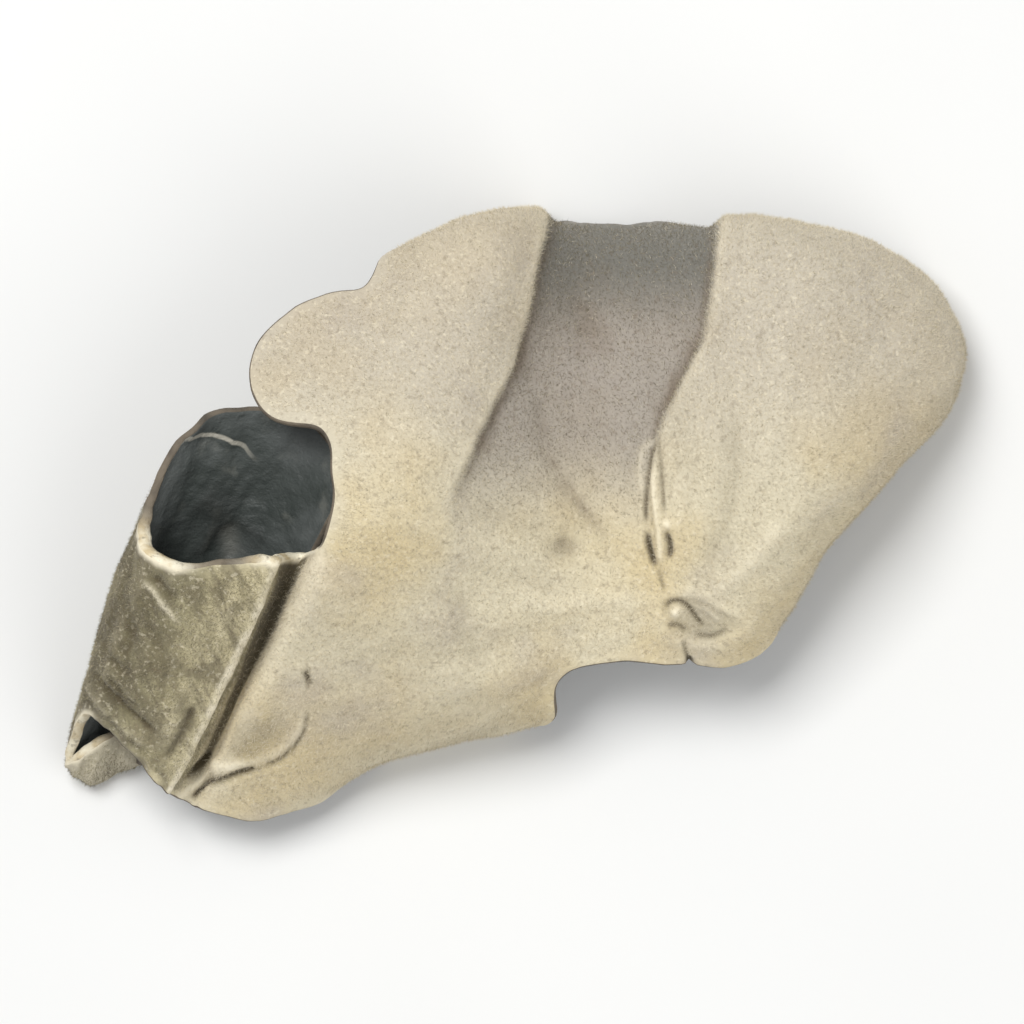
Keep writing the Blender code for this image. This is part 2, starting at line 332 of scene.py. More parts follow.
@dataclass
class Lamina:
    """The broad right part: bulges, with margins that turn down past a closed line, the brow."""

    heights: ThinPlate = ThinPlate(
        (
            (-19.5, -18.3, 4.6),  # foot of the shoulder
            (-15.4, -9.8, 11.0),
            (-11.4, -1.3, 17.2),  # top of the shoulder, beside the mouth
            (-10.8, 4.0, 17.8),
            (-14.6, 11.0, 15.0),  # small lobe behind the mouth
            (-8.0, 14.0, 14.0),
            (0.5, 15.5, 12.6),
            (0.5, 21.0, 12.0),
            (5.5, 14.0, 6.4),
            (6.0, 21.0, 4.6),
            (10.0, 14.0, 7.6),
            (17.0, 14.0, 12.0),
            (16.0, 21.0, 10.6),
            (25.0, 12.0, 9.4),
            (30.0, 16.0, 7.4),
            (-4.0, 5.0, 16.6),  # crest of the first bulge
            (-4.0, -4.0, 13.8),
            (-9.0, -11.0, 9.6),
            (-1.0, -10.0, 9.6),
            (5.0, 7.5, 9.0),  # valley
            (6.0, 0.5, 9.4),
            (6.5, -6.0, 9.0),
            (11.7, -5.5, 9.2),  # attachment scar
            (18.0, 6.0, 13.4),  # crest of the second bulge
            (16.0, -1.0, 11.6),
        )
    )
    # The brow: x, y, how far the margin turns in degrees, and how far it goes on past the brow.
    brow_stations: tuple[tuple[float, float, float, float], ...] = (
        (-8.8, 0.9, 0, 2.0),
        (-8.8, 4.6, 5, 2.0),
        (-10.2, 7.5, 12, 1.3),
        (-12.8, 9.8, 25, 3.4),  # small lobe behind the mouth
        (-10.9, 11.6, 56, 3.6),
        (-7.0, 12.6, 72, 3.9),
        (-2.6, 14.8, 88, 10.0),
        (1.0, 16.2, 92, 13.0),
        (4.4, 15.8, 74, 7.6),
        (8.0, 15.4, 60, 6.4),
        (14.0, 15.6, 86, 10.5),
        (21.0, 15.0, 92, 9.5),
        (25.6, 11.6, 88, 10.4),
        (22.4, 6.8, 98, 11.0),
        (18.0, 1.6, 102, 10.0),
        (14.8, -3.8, 96, 7.0),
        (12.0, -6.0, 60, 3.0),  # the notch
        (3.4, -7.0, 46, 2.4),
        (-0.6, -8.8, 96, 9.4),
        (-5.0, -9.9, 100, 11.0),
        (-10.0, -11.2, 92, 8.2),
        (-15.2, -14.0, 70, 5.4),
        (-19.4, -17.0, 30, 2.5),
        (-17.6, -10.0, 0, 2.0),
        (-13.0, -2.0, 0, 2.0),
    )
    turn_length: float = 7.0  # length of sheet over which the margin turns
    brow_steps: int = 160
    # The pinched wrinkle and the scar, where the net is finer.
    fine_patch: tuple[Pair, Pair] = ((8.2, -9.4), (15.6, 7.4))
    fineness: float = 0.55
    margin_stations: float = 21.6  # the margin follows this many stations of the brow
    nibble: Grain = Grain(3, 0.55, 3, 0.34)  # how the margin wavers, by stations of the brow
    # Stations from either end of the margin between which the waver sets in.
    still_start: Pair = (0.3, 1.5)
    still_end: Pair = (0.3, 1.2)
    room: float = 0.6  # how near the net comes to the margin, in spacings

    def __post_init__(self) -> None:
        """Works out the brow and the direction out of it."""
        self.brow = smooth_line(self.brow_stations, self.brow_steps, closed=True)
        way = np.roll(self.brow[:, :2], -1, axis=0) - np.roll(self.brow[:, :2], 1, axis=0)
        self.brow_out = unit(np.column_stack((-way[:, 1], way[:, 0])))

    def points(self, flat: Array) -> Array:
        """Points in space.

        Args:
            flat: Points of the flat sheet.

        Returns:
            Their places in space.
        """
        nearest, _ = nearest_points(flat, self.brow[:, :2])
        foot = self.brow[nearest, :2]
        beyond = ((flat - foot) * self.brow_out[nearest]).sum(axis=1).clip(0.0)
        outward = unit(flat - foot)
        full_turn = np.radians(self.brow[nearest, 2]).clip(1e-4)
        radius = self.turn_length / full_turn
        turned = full_turn * (beyond / self.turn_length).clip(0.0, 1.0)
        straight = (beyond - self.turn_length).clip(0.0)
        reach = radius * np.sin(turned) + straight * np.cos(full_turn)
        drop = radius * (1.0 - np.cos(turned)) + straight * np.sin(full_turn)
        place = np.where((beyond > 0.0)[:, None], foot + outward * reach[:, None], flat)
        return np.column_stack((place, self.heights.height(place) - drop))

    def margin(self, spacing: float) -> Array:
        """The flat margin, from the shoulder's top round to its low end, without those two.

        Args:
            spacing: About how far apart its points are.

        Returns:
            Its points.
        """
        count = round(self.margin_stations * self.brow_steps)
        station = np.arange(count) / self.brow_steps
        waver = self.nibble.heights(np.column_stack((station, 0.0 * station)))
        start, end = self.still_end
        ends = ease(station, self.margin_stations - start, self.margin_stations - end)
        reach = self.brow[:count, 3] + waver * (ease(station, *self.still_start) * ends)
        line = self.brow[:count, :2] + self.brow_out[:count] * reach[:, None]
        return even_line(np.vstack((SHOULDER.top, line, SHOULDER.low)), spacing)[1:-1]

    def lattice(self, low: Array, high: Array, spacing: float) -> Array:
        """Evenly spread points of a rectangle, in staggered rows.

        Args:
            low: Its low corner.
            high: Its high corner.
            spacing: Distance between the points.

        Returns:
            The points.
        """
        rows = np.arange(low[1], high[1], spacing * math.sqrt(0.75))
        columns = np.arange(low[0], high[0], spacing)
        shifts = (np.arange(len(rows)) % 2) * spacing / 2
        return np.column_stack((np.add.outer(shifts, columns).ravel(), np.repeat(rows, len(columns))))

    def net(self, seam: Array, spacing: float) -> tuple[Array, Array]:
        """The flat net of the lamina.

        Args:
            seam: Flat points of the shoulder, low end first.
            spacing: Distance between the net's points.

        Returns:
            Flat points, which start with the seam's, and triangles.
        """
        outline = np.vstack((seam, self.margin(spacing)))
        low, high = outline.min(axis=0), outline.max(axis=0)
        coarse = self.lattice(low, high, spacing)
        fine = self.lattice(*np.array(self.fine_patch), spacing * self.fineness)
        in_patch = ((coarse > self.fine_patch[0]) & (coarse < self.fine_patch[1])).all(axis=1)
        lattice = np.vstack((coarse[~in_patch], fine))
        _, gap = nearest_points(lattice, outline)
        points = np.vstack((outline, lattice[gap > self.room * spacing]))
        count = len(outline)
        edges = [(i, (i + 1) % count) for i in range(count)]
        flat, _, faces, *_ = delaunay_2d_cdt([Vector(p) for p in points], edges, [], 1, 1e-6)
        flat, faces = np.array([tuple(p) for p in flat]), np.array(faces)
        used = np.unique(faces)
        if not np.array_equal(used[: len(seam)], np.arange(len(seam))):
            raise ValueError("the seam's points are not the first of the net")
        renumbered = np.zeros(len(flat), int)
        renumbered[used] = np.arange(len(used))
        return flat[used], renumbered[faces]


@dataclass
class Roll:
    """The pleat beside the shoulder, and the funnel that is rolled from its far wall."""

    lamina: Lamina
    # Sizes at the low end of the shoulder and at its top.
    pleat_width: Pair = (2.5, 2.4)
    pleat_depth: Pair = (1.5, 3.8)
    pleat_girth: float = 10.0
    handle: float = 4 / 3  # a Bezier arch is three quarters as deep as its handles are long
    ridge_height: Pair = (5.6, 18.0)
    half_width: Pair = (4.35, 5.75)
    half_height: Pair = (3.35, 5.4)
    funnel_girth: float = 27.0
    ridge_angle: float = 50.0
    free_edge_angle: float = 345.0
    # Where the sheet ends at the mouth and at the low end: angle round the funnel, place along.
    mouth_end: Line = (
        (50, -1.8),
        (60, -2.2),
        (84, -3.4),
        (105, -4.7),
        (125, -5.1),
        (147, -4.8),
        (165, -3.8),
        (180, -2.2),
        (194, 0.5),
        (207, 2.4),
        (222, 4.4),
        (254, 6.4),
        (280, 7.3),
        (305, 6.6),
        (350, 4.0),
    )
    low_end: Line = (
        (50, -18.8),
        (88, -17.7),
        (120, -16.7),
        (143, -16.2),
        (162, -16.6),
        (180, -18.8),
        (192, -20.3),
        (205, -22.2),
        (225, -24.2),
        (242, -24.8),
        (262, -22.4),
        (285, -17.6),
        (310, -16.0),
        (350, -15.0),
    )
    # The lower wall folds up over its low end: angle round the funnel, where the fold starts.
    fold_starts: Line = ((178, -18.6), (215, -19.4), (240, -19.4), (262, -18.0), (285, -16.8))
    fold_radius: float = 1.1
    fold_turn: float = math.radians(178.0)
    fold_angles: Pair = (178.0, 200.0)
    low_nibble: Grain = Grain(5, 17.0, 3, 0.22)  # how the ends waver, by degrees round the funnel
    mouth_nibble: Grain = Grain(6, 17.0, 3, 0.22)
    still_angles: Pair = (4.0, 22.0)  # degrees past the ridge between which the waver sets in

    def between(self, pair: Pair, along: Array) -> Array:
        """A size at a distance along the funnel, from its values at the low end and the mouth."""
        return pair[0] + (pair[1] - pair[0]) * (along / SHOULDER.length + 1.0)

    def ridge(self, along: Array) -> Array:
        """The crest where the pleat's left wall meets the funnel.

        Args:
            along: Distances along the shoulder.

        Returns:
            Its points in space.
        """
        width = self.between(self.pleat_width, along)
        place = SHOULDER.at(along) + SHOULDER.leftwards * width[:, None]
        return np.column_stack((place, self.between(self.ridge_height, along)))

    def pleat_points(self, share: Array, along: Array) -> Array:
        """Points of the pleat.

        Args:
            share: From 0 on the shoulder to 1 on the ridge.
            along: Distance along the shoulder.

        Returns:
            Their places in space.
        """
        shoulder, ridge = self.lamina.points(SHOULDER.at(along)), self.ridge(along)
        pull = np.zeros_like(shoulder)
        pull[:, 2] = -self.handle * self.between(self.pleat_depth, along)
        s = share[:, None]
        return (
            shoulder * (1 - s) ** 3
            + 3 * (shoulder + pull) * s * (1 - s) ** 2
            + 3 * (ridge + pull) * s**2 * (1 - s)
            + ridge * s**3
        )

    def funnel_points(self, angle: Array, along: Array) -> Array:
        """Points of the funnel.

        Args:
            angle: Degrees round the funnel, growing from the ridge over the top.
            along: Distance along the funnel.

        Returns:
            Their places in space.
        """
        fold_start = np.interp(angle, *np.array(self.fold_starts).T)
        folded = (fold_start - along) * np.interp(angle, self.fold_angles, (0.0, 1.0))
        bent = folded.clip(0.0, self.fold_radius * self.fold_turn)
        flap = (folded - bent).clip(0.0)
        along = along + folded.clip(0.0) - self.fold_radius * np.sin(bent / self.fold_radius)
        along = along - flap * math.cos(self.fold_turn)
        lift = self.fold_radius * (1.0 - np.cos(bent / self.fold_radius))
        lift = lift + flap * math.sin(self.fold_turn)
        ridge_turn, turn = math.radians(self.ridge_angle), np.radians(angle)
        leftwards = self.between(self.half_width, along) * (math.cos(ridge_turn) - np.cos(turn))
        points = self.ridge(along)
        points[:, :2] += SHOULDER.leftwards * leftwards[:, None]
        rise = np.sin(turn) - math.sin(ridge_turn)
        points[:, 2] += self.between(self.half_height, along) * rise + lift
        return points

    def ends(self, angle: Array) -> tuple[Array, Array]:
        """Where the sheet ends.

        Args:
            angle: Degrees round the funnel.

        Returns:
            The places along the funnel at the low end and at the mouth.
        """
        fade = ease(angle - self.ridge_angle, *self.still_angles)
        spots = np.column_stack((angle, 0.0 * angle))
        low = np.interp(angle, *smooth_line(self.low_end, 8).T)
        high = np.interp(angle, *smooth_line(self.mouth_end, 8).T)
        low += fade * self.low_nibble.heights(spots)
        return low, high + fade * self.mouth_nibble.heights(spots)

    def net(self, rows: int, spacing: float) -> tuple[Array, Array, Array, Array]:
        """The pleat and the funnel as a grid, column by column from the shoulder.

        Args:
            rows: Points in each column.
            spacing: Distance between the columns.

        Returns:
            Points in space, girths from the shoulder, distances along and angles. The angle is
            0 on the pleat.
        """
        columns = []
        for share in np.linspace(0.0, 1.0, round(self.pleat_girth / spacing) + 1):
            low = -SHOULDER.length + share * (self.low_end[0][1] + SHOULDER.length)
            along = np.linspace(low, share * self.mouth_end[0][1], rows)
            points = self.pleat_points(np.full(rows, share), along)
            columns.append((points, np.full(rows, share * self.pleat_girth), along, np.zeros(rows)))
        count = round(self.funnel_girth / spacing)
        angles = np.linspace(self.ridge_angle, self.free_edge_angle, count + 1)[1:]
        for angle, low, high in zip(angles, *self.ends(angles)):
            along, turn = np.linspace(low, high, rows), np.full(rows, angle)
            share = (angle - self.ridge_angle) / (self.free_edge_angle - self.ridge_angle)
            girth = np.full(rows, self.pleat_girth + share * self.funnel_girth)
            columns.append((self.funnel_points(turn, along), girth, along, turn))
        points, girths, alongs, turns = (np.concatenate(values) for values in zip(*columns))
        return points, girths, alongs, turns


@dataclass(frozen=True)
class Crease:
    """A line of the dried sheet that stands up or sinks in, seen from above."""

    line: Line
    height: float  # how high it stands, or sinks in if negative
    width: float  # half its width
    pale: float = 0.0  # how worn and pale it is
    dark: float = 0.0  # how dark it is, as painted shade in the crease
    fade: float = 0.18  # share of its length over which each end dies away
    reach: float = 4.0  # how far it is felt, in widths

    def box(self) -> tuple[Array, Array]:
        """The low and the high corner of the stretch that it reaches."""
        room = self.reach * self.width
        return np.min(self.line, axis=0) - room, np.max(self.line, axis=0) + room

    def strength(self, places: Array) -> Array:
        """How much of it there is at places seen from above, from 0 to 1."""
        distance, along, _ = line_distance(places, smooth_line(self.line, 6))
        return bell(distance, self.width) * dying_ends(along, self.fade, self.fade)


@dataclass(frozen=True)
class Folds:
    """Creases on the same stretches and the same side of the sheet."""

    creases: tuple[Crease, ...]
    zones: tuple[Zone, ...] = (Zone.LAMINA,)
    side: Side = Side.BACK


PINCHED_WRINKLE = (
    Crease(((10.4, 6.1), (9.95, 4.9), (9.8, 3.3), (9.65, 1.9), (9.75, 0.2)), -0.26, 0.17, dark=0.75),
    Crease(((10.1, 6.2), (9.4, 5.4), (9.1, 4.4), (9.2, 3.2), (9.5, 2.0)), 0.24, 0.32, pale=0.35),
    Crease(((10.55, 6.2), (10.65, 4.2), (10.85, 2.4), (11.0, 0.9)), -0.18, 0.15, dark=0.45),
    Crease(
        ((10.2, 4.6), (10.25, 2.8), (10.5, 1.2), (10.65, -0.4), (10.65, -2.4)),
        0.32,
        0.28,
        pale=0.45,
    ),
    Crease(((11.9, 4.0), (11.7, 1.6), (11.9, -0.6)), 0.12, 0.4, pale=0.12),
    Crease(((9.75, 0.1), (9.95, -1.2), (10.35, -2.5)), -0.6, 0.2, dark=1.0, fade=0.3),  # slits
    Crease(((11.0, 0.1), (11.3, -0.8), (11.2, -1.9)), -0.5, 0.18, dark=1.0, fade=0.3),
    Crease(((11.0, 0.9), (11.35, 0.1)), 0.2, 0.26, pale=0.9, fade=0.4),
    Crease(((10.5, -2.3), (10.6, -3.0), (10.9, -4.0)), -0.12, 0.16, dark=0.4),
    Crease(((3.0, -0.2), (4.2, -0.8), (5.8, -1.3)), -0.3, 1.2, dark=0.14, fade=0.4),
)
FROM_THE_SCAR = (
    Crease(((9.6, -4.8), (6.4, -4.4), (3.2, -4.9), (0.6, -4.0)), 0.2, 0.6, pale=0.15),
    Crease(((13.6, -4.4), (16.4, -1.8), (18.4, 1.0)), 0.24, 0.6, pale=0.2),
    Crease(((13.0, -3.2), (14.6, 0.4), (15.2, 4.2), (15.0, 8.0)), -0.2, 0.7, dark=0.15),
    Crease(((8.2, -2.4), (5.6, 1.0), (3.4, 5.4), (3.2, 9.4)), -0.2, 0.8, dark=0.1),
    Crease(((4.8, -2.0), (1.6, 0.2), (-2.2, 1.4)), -0.16, 0.9, dark=0.1),
    Crease(((12.1, -7.0), (12.2, -7.8), (12.5, -8.6), (12.6, -9.6)), -0.2, 0.16, dark=0.7, fade=0.1),
    Crease(((12.4, -8.0), (12.5, -8.7), (12.7, -9.8)), -0.5, 0.24, dark=1.0, fade=0.3),
)
INSIDE_THE_SCAR = (
    Crease(
        ((10.9, -5.1), (11.2, -4.6), (11.8, -4.5), (12.4, -4.9), (12.9, -5.6), (13.5, -6.3)),
        -0.22,
        0.17,
        dark=0.6,
    ),
    Crease(((11.0, -6.2), (11.6, -6.1), (12.3, -6.5)), -0.14, 0.17, dark=0.4),
    Crease(((12.8, -6.7), (13.8, -6.8), (14.5, -6.5), (14.9, -6.1)), -0.14, 0.17, dark=0.4),
    Crease(((12.9, -4.8), (13.8, -5.2), (14.5, -5.9)), 0.1, 0.2, pale=0.15),
)
BULGES = (
    Crease(((-12.6, -8.5), (-12.5, -9.4), (-12.3, -10.1)), -0.45, 0.17, dark=1.0, fade=0.4),  # a slit
    Crease(((-1.0, -9.6), (-2.4, -6.6), (-2.6, -3.4)), -0.16, 0.8, dark=0.1),
    Crease(((-7.6, 9.4), (-6.2, 12.6), (-5.6, 15.8)), 0.2, 0.8),
    Crease(((17.2, 13.4), (18.4, 10.2), (18.0, 6.6)), 0.16, 0.9),
)
# The foot of the lamina, which is folded beside the ridge's low tip, with painted shade over the fold.
FOOT = (
    Crease(
        ((-18.0, -15.3), (-16.4, -14.9), (-14.6, -14.2), (-13.2, -12.7), (-12.7, -10.9)),
        0.13,
        0.24,
        pale=0.35,
        fade=0.25,
    ),
    Crease(((-18.8, -16.0), (-16.6, -13.9), (-15.0, -12.2), (-14.0, -10.2)), 0.0, 1.3, dark=0.42, fade=0.4),
)
FOOT_AND_PLEAT = (
    Crease(
        ((-22.2, -18.0), (-20.6, -16.9), (-19.0, -15.9), (-17.4, -15.1), (-16.4, -14.9)),
        0.16,
        0.28,
        pale=0.8,
    ),
    Crease(
        ((-20.4, -17.6), (-19.2, -16.8), (-17.2, -15.7), (-15.8, -15.3)),
        -0.45,
        0.2,
        dark=1.0,
        fade=0.15,
    ),
    Crease(((-15.8, -15.3), (-14.2, -14.5), (-12.9, -12.9), (-12.5, -11.0)), -0.16, 0.15, dark=0.7),
    Crease(((-20.9, -16.2), (-19.8, -15.0), (-18.8, -14.4)), -0.4, 0.2, dark=0.9),
)
# Folds of the pleat and the funnel, the sunken ones darkened as painted shade.
FUNNEL_FOLDS = (
    Crease(((-26.5, -9.0), (-25.2, -10.6), (-23.8, -12.0), (-22.2, -13.2)), -0.42, 0.26, dark=0.9),
    Crease(((-27.0, -9.6), (-25.8, -11.4), (-24.2, -13.0), (-22.5, -14.4)), 0.3, 0.32, pale=0.08),
    Crease(((-25.3, -9.4), (-24.4, -10.8), (-23.4, -11.6)), -0.3, 0.24, dark=0.6),
    Crease(((-26.2, -12.6), (-24.6, -14.4), (-22.8, -15.8)), -0.26, 0.26, dark=0.6),
    Crease(((-19.8, -11.0), (-20.9, -13.2), (-22.2, -15.0)), -0.36, 0.34, dark=0.8),
    Crease(((-26.2, -5.6), (-25.4, -7.6), (-24.0, -9.4)), -0.22, 0.3, dark=0.5),
    Crease(((-25.0, -3.4), (-24.8, -5.4), (-25.6, -7.6)), -0.2, 0.34, dark=0.5),
    Crease(((-22.7, -3.0), (-21.6, -4.4), (-20.6, -5.8)), 0.14, 0.17, pale=0.6),
    Crease(((-22.2, -2.8), (-21.4, -3.5), (-20.8, -4.4)), -0.24, 0.36, dark=0.8),
    Crease(((-23.9, -4.0), (-23.6, -6.4), (-24.2, -8.2)), -0.2, 0.36, dark=0.5),
    Crease(((-22.6, -5.6), (-21.6, -8.0), (-22.0, -10.4)), -0.14, 0.4, dark=0.3),
    Crease(((-18.4, -5.2), (-19.4, -8.6), (-21.0, -12.4)), -0.16, 0.36, dark=0.2),
)
# Painted shade for the depth of the funnel seen through the mouth, and for folds that run from it to the
# lip.
MOUTH_FOLDS = (
    Crease(((-19.8, 2.8), (-18.4, 1.5), (-17.2, 0.9)), -0.3, 1.3, dark=0.6),
    Crease(((-18.6, 0.9), (-19.2, -0.4), (-20.2, -1.6)), -0.2, 0.4, dark=0.5),
    Crease(((-17.6, 1.2), (-16.2, 0.2), (-14.8, -0.8)), -0.2, 0.4, dark=0.5),
    Crease(((-17.9, 0.8), (-17.6, -0.4), (-17.4, -1.8)), 0.2, 0.6, pale=0.12),
)
ALL_FOLDS = (
    Folds(PINCHED_WRINKLE + FROM_THE_SCAR + INSIDE_THE_SCAR + BULGES + FOOT),
    Folds(FOOT_AND_PLEAT, (Zone.LAMINA, Zone.PLEAT)),
    Folds(FUNNEL_FOLDS, (Zone.PLEAT, Zone.FUNNEL)),
    Folds(MOUTH_FOLDS, (Zone.FUNNEL,), Side.HOLLOW),
)


@dataclass(frozen=True)
class InnerRoll:
    """The edge of a thin inner roll, just inside the far side of the mouth."""

    line: Line = ((23.8, 2.0), (25.4, 3.2), (26.8, 3.8), (28.4, 4.0), (30.0, 3.7))  # girth, place along
    height: float = 0.22
    width: float = 0.4
    fades: Pair = (0.25, 0.3)  # shares of its length over which its ends die away

    def shape(self, places: Array) -> tuple[Array, Array, Array]:
        """What it does to the hollow side.

        Args:
            places: Points of the unrolled funnel.

        Returns:
            The rise, the distance from the line and the line's strength from 0 to 1.
        """
        distance, along, side = line_distance(places, smooth_line(self.line, 8))
        strength = dying_ends(along, *self.fades)
        gap = distance * side
        rise = self.height * ease(gap, self.width, -self.width) * strength * bell(gap, 1.0)
        return rise, gap, strength


@dataclass(frozen=True)
class Valley:
    """The sunken stretch between the two bulges, with a crisp edge on either side and a floor darkened as
    painted shade.
    """

    left_edge: Line = ((3.2, 20.0), (2.4, 17.0), (1.1, 11.0), (-1.2, 6.4), (-2.8, 3.0), (-3.6, -2.0))
    right_edge: Line = (
        (14.4, 20.0),
        (13.7, 14.5),
        (13.3, 12.3),
        (12.1, 10.0),
        (10.95, 7.7),
        (10.3, 6.0),
        (9.95, 4.8),
        (9.7, -2.0),
    )
    depth: float = 1.0
    edge_width: float = 1.3
    fading: Pair = (-1.5, 7.0)  # it dies away towards the scar

    def floor(self, places: Array) -> Array:
        """How far each place lies in it.

        Args:
            places: Points seen from above.

        Returns:
            The shares, from 0 to 1.
        """
        x, y = places.T
        left, right = (
            np.interp(y, *np.array(edge)[::-1, ::-1].T) for edge in (self.left_edge, self.right_edge)
        )
        edge = self.edge_width / 2
        return ease(x - left, -edge, edge) * ease(right - x, -edge, edge) * ease(y, *self.fading)


@dataclass(frozen=True)
class Scar:
    """The scar where the mushroom was attached to the wood: a sunken oval with a small knob, its groove and
    floor darkened as painted shade.
    """

    middle: Pair = (12.9, -5.7)
    half_length: float = 2.0
    half_width: float = 1.15
    turn: float = math.radians(-12.0)
    groove_width: float = 0.24
    groove_depth: float = 0.1
    floor_edge: Pair = (0.1, -0.5)
    floor_depth: float = 0.14
    wall_place: float = 0.5
    wall_width: float = 0.4
    wall_height: float = 0.12
    knob: Pair = (11.6, -5.2)
    knob_radius: float = 0.42
    knob_height: float = 0.42
    # How its outline is ragged: how far, in how many lobes and where they start.
    lobes: tuple[tuple[float, float, float], ...] = ((0.09, 3.0, 0.8), (0.06, 5.0, 0.0))
    wall_pale: float = 0.08
    knob_pale: float = 0.9
    # Painted shade in its groove and on its floor.
    groove_dark: float = 0.2
    floor_dark: float = 0.3

    def shape(self, places: Array) -> tuple[Array, Array, Array]:
        """What it does to the sheet.

        Args:
            places: Points seen from above.

        Returns:
            The rise, and how pale and how dark it is.
        """
        x, y = (places - np.array(self.middle)).T
        across = (x * math.cos(self.turn) + y * math.sin(self.turn)) / self.half_length
        along = (y * math.cos(self.turn) - x * math.sin(self.turn)) / self.half_width
        direction = np.arctan2(along, across)
        ragged = np.ones_like(direction)
        for height, count, start in self.lobes:
            ragged += height * np.sin(count * direction + start)
        gap = (np.hypot(across, along) / ragged - 1.0) * self.half_width
        knob = bell(np.linalg.norm(places - self.knob, axis=1), self.knob_radius)
        floor = ease(gap, *self.floor_edge) * (1.0 - knob)
        groove = bell(gap, self.groove_width) * (1.0 - knob)
        wall = bell(gap - self.wall_place, self.wall_width)
        rise = self.wall_height * wall + self.knob_height * knob
        rise -= self.groove_depth * groove + self.floor_depth * floor
        pale = self.wall_pale * wall + self.knob_pale * knob
        return rise, pale, self.groove_dark * groove + self.floor_dark * floor


@dataclass
class Sheet:
    """The middle surface of the sheet, which the relief and the thickness start from."""

    points: Array
    flat: Array
    zone: Array
    angle: Array
    faces: Array

    def __post_init__(self) -> None:
        """Works out its edges, its margin and its measures round and along the funnel."""
        ways = np.vstack((self.faces[:, (0, 1)], self.faces[:, (1, 2)], self.faces[:, (2, 0)]))
        known = {(a, b) for a, b in ways.tolist()}
        following = {a: b for a, b in known if (b, a) not in known}
        self.edges = np.unique(np.sort(ways, axis=1), axis=0)
        start = min(following)
        margin = [start]
        while following[margin[-1]] != start:
            margin.append(following[margin[-1]])
        if len(margin) != len(following):
            raise ValueError("the sheet has more than one margin")
        self.margin = np.array(margin)
        offset = self.flat - np.array(SHOULDER.top)
        self.girth = np.where(self.zone == Zone.LAMINA, 0.0, offset @ SHOULDER.leftwards)
        self.along = offset @ SHOULDER.up_funnel

    @classmethod
    def grown(cls, lamina: Lamina, roll: Roll, spacing: float, row_spacing: float) -> "Sheet":
        """Joins the lamina to the roll.

        Args:
            lamina: The broad part.
            roll: The pleat and the funnel.
            spacing: Distance between the points.
            row_spacing: Distance between the points along the shoulder.

        Returns:
            The whole middle surface.
        """
        rows = round(SHOULDER.length / row_spacing) + 1
        flat, faces = lamina.net(SHOULDER.seam(rows), spacing)
        points = lamina.points(flat)
        rolled, girth, along, angle = roll.net(rows, spacing)
        columns = len(rolled) // rows
        grid = np.arange(len(rolled)).reshape(columns, rows) + len(flat) - rows
        grid[0] = np.arange(rows)
        corners = [grid[:-1, :-1], grid[:-1, 1:], grid[1:, 1:], grid[1:, :-1]]
        a, b, c, d = (corner.ravel() for corner in corners)
        roll_faces = np.vstack((np.column_stack((a, b, c)), np.column_stack((a, c, d))))
        roll_flat = SHOULDER.at(along) + np.outer(girth, SHOULDER.leftwards)
        zone = np.where(angle > 0.0, Zone.FUNNEL, Zone.PLEAT)
        return cls(
            points=np.vstack((points, rolled[rows:])),
            flat=np.vstack((flat, roll_flat[rows:])),
            zone=np.concatenate((np.full(len(flat), Zone.LAMINA), zone[rows:])),
            angle=np.concatenate((np.zeros(len(flat)), angle[rows:])),
            faces=np.vstack((faces, roll_faces)),
        )

    def normals(self, points: Array) -> Array:
        """Directions out of the back.

        Args:
            points: The sheet's points, or those of one of its sides.

        Returns:
            The direction at each point.
        """
        a, b, c = (points[self.faces[:, corner]] for corner in range(3))
        across = np.cross(b - a, c - a)
        total = np.zeros_like(points)
        for corner in range(3):
            for axis in range(3):
                total[:, axis] += np.bincount(self.faces[:, corner], across[:, axis], len(points))
        return unit(total)

    def averaged(self, values: Array) -> Array:
        """The mean of each point's neighbours.

        Args:
            values: One value or one row of values for each point.

        Returns:
            The means, in the same shape.
        """
        first, second = self.edges.T
        count = len(values)
        neighbours = np.bincount(first, minlength=count) + np.bincount(second, minlength=count)
        columns = values.reshape(count, -1)
        total = [
            np.bincount(first, column[second], count) + np.bincount(second, column[first], count)
            for column in columns.T
        ]
        return (np.column_stack(total) / neighbours[:, None]).reshape(values.shape)

    def relaxed(self, values: Array, rounds: int) -> Array:
        """Values smoothed over the sheet, and along its margin at the margin.

        Args:
            values: One value or one row of values for each point.
            rounds: How many times they are smoothed.

        Returns:
            The smoothed values.
        """
        for _ in range(rounds):
            smooth = (values + self.averaged(values)) / 2.0
            rim = values[self.margin]
            smooth[self.margin] = (2.0 * rim + np.roll(rim, 1, axis=0) + np.roll(rim, -1, axis=0)) / 4.0
            values = smooth
        return values

    def margin_distance(self) -> Array:
        """How far each point is from the margin, on the flat sheet."""
        return nearest_points(self.flat, self.flat[self.margin])[1]


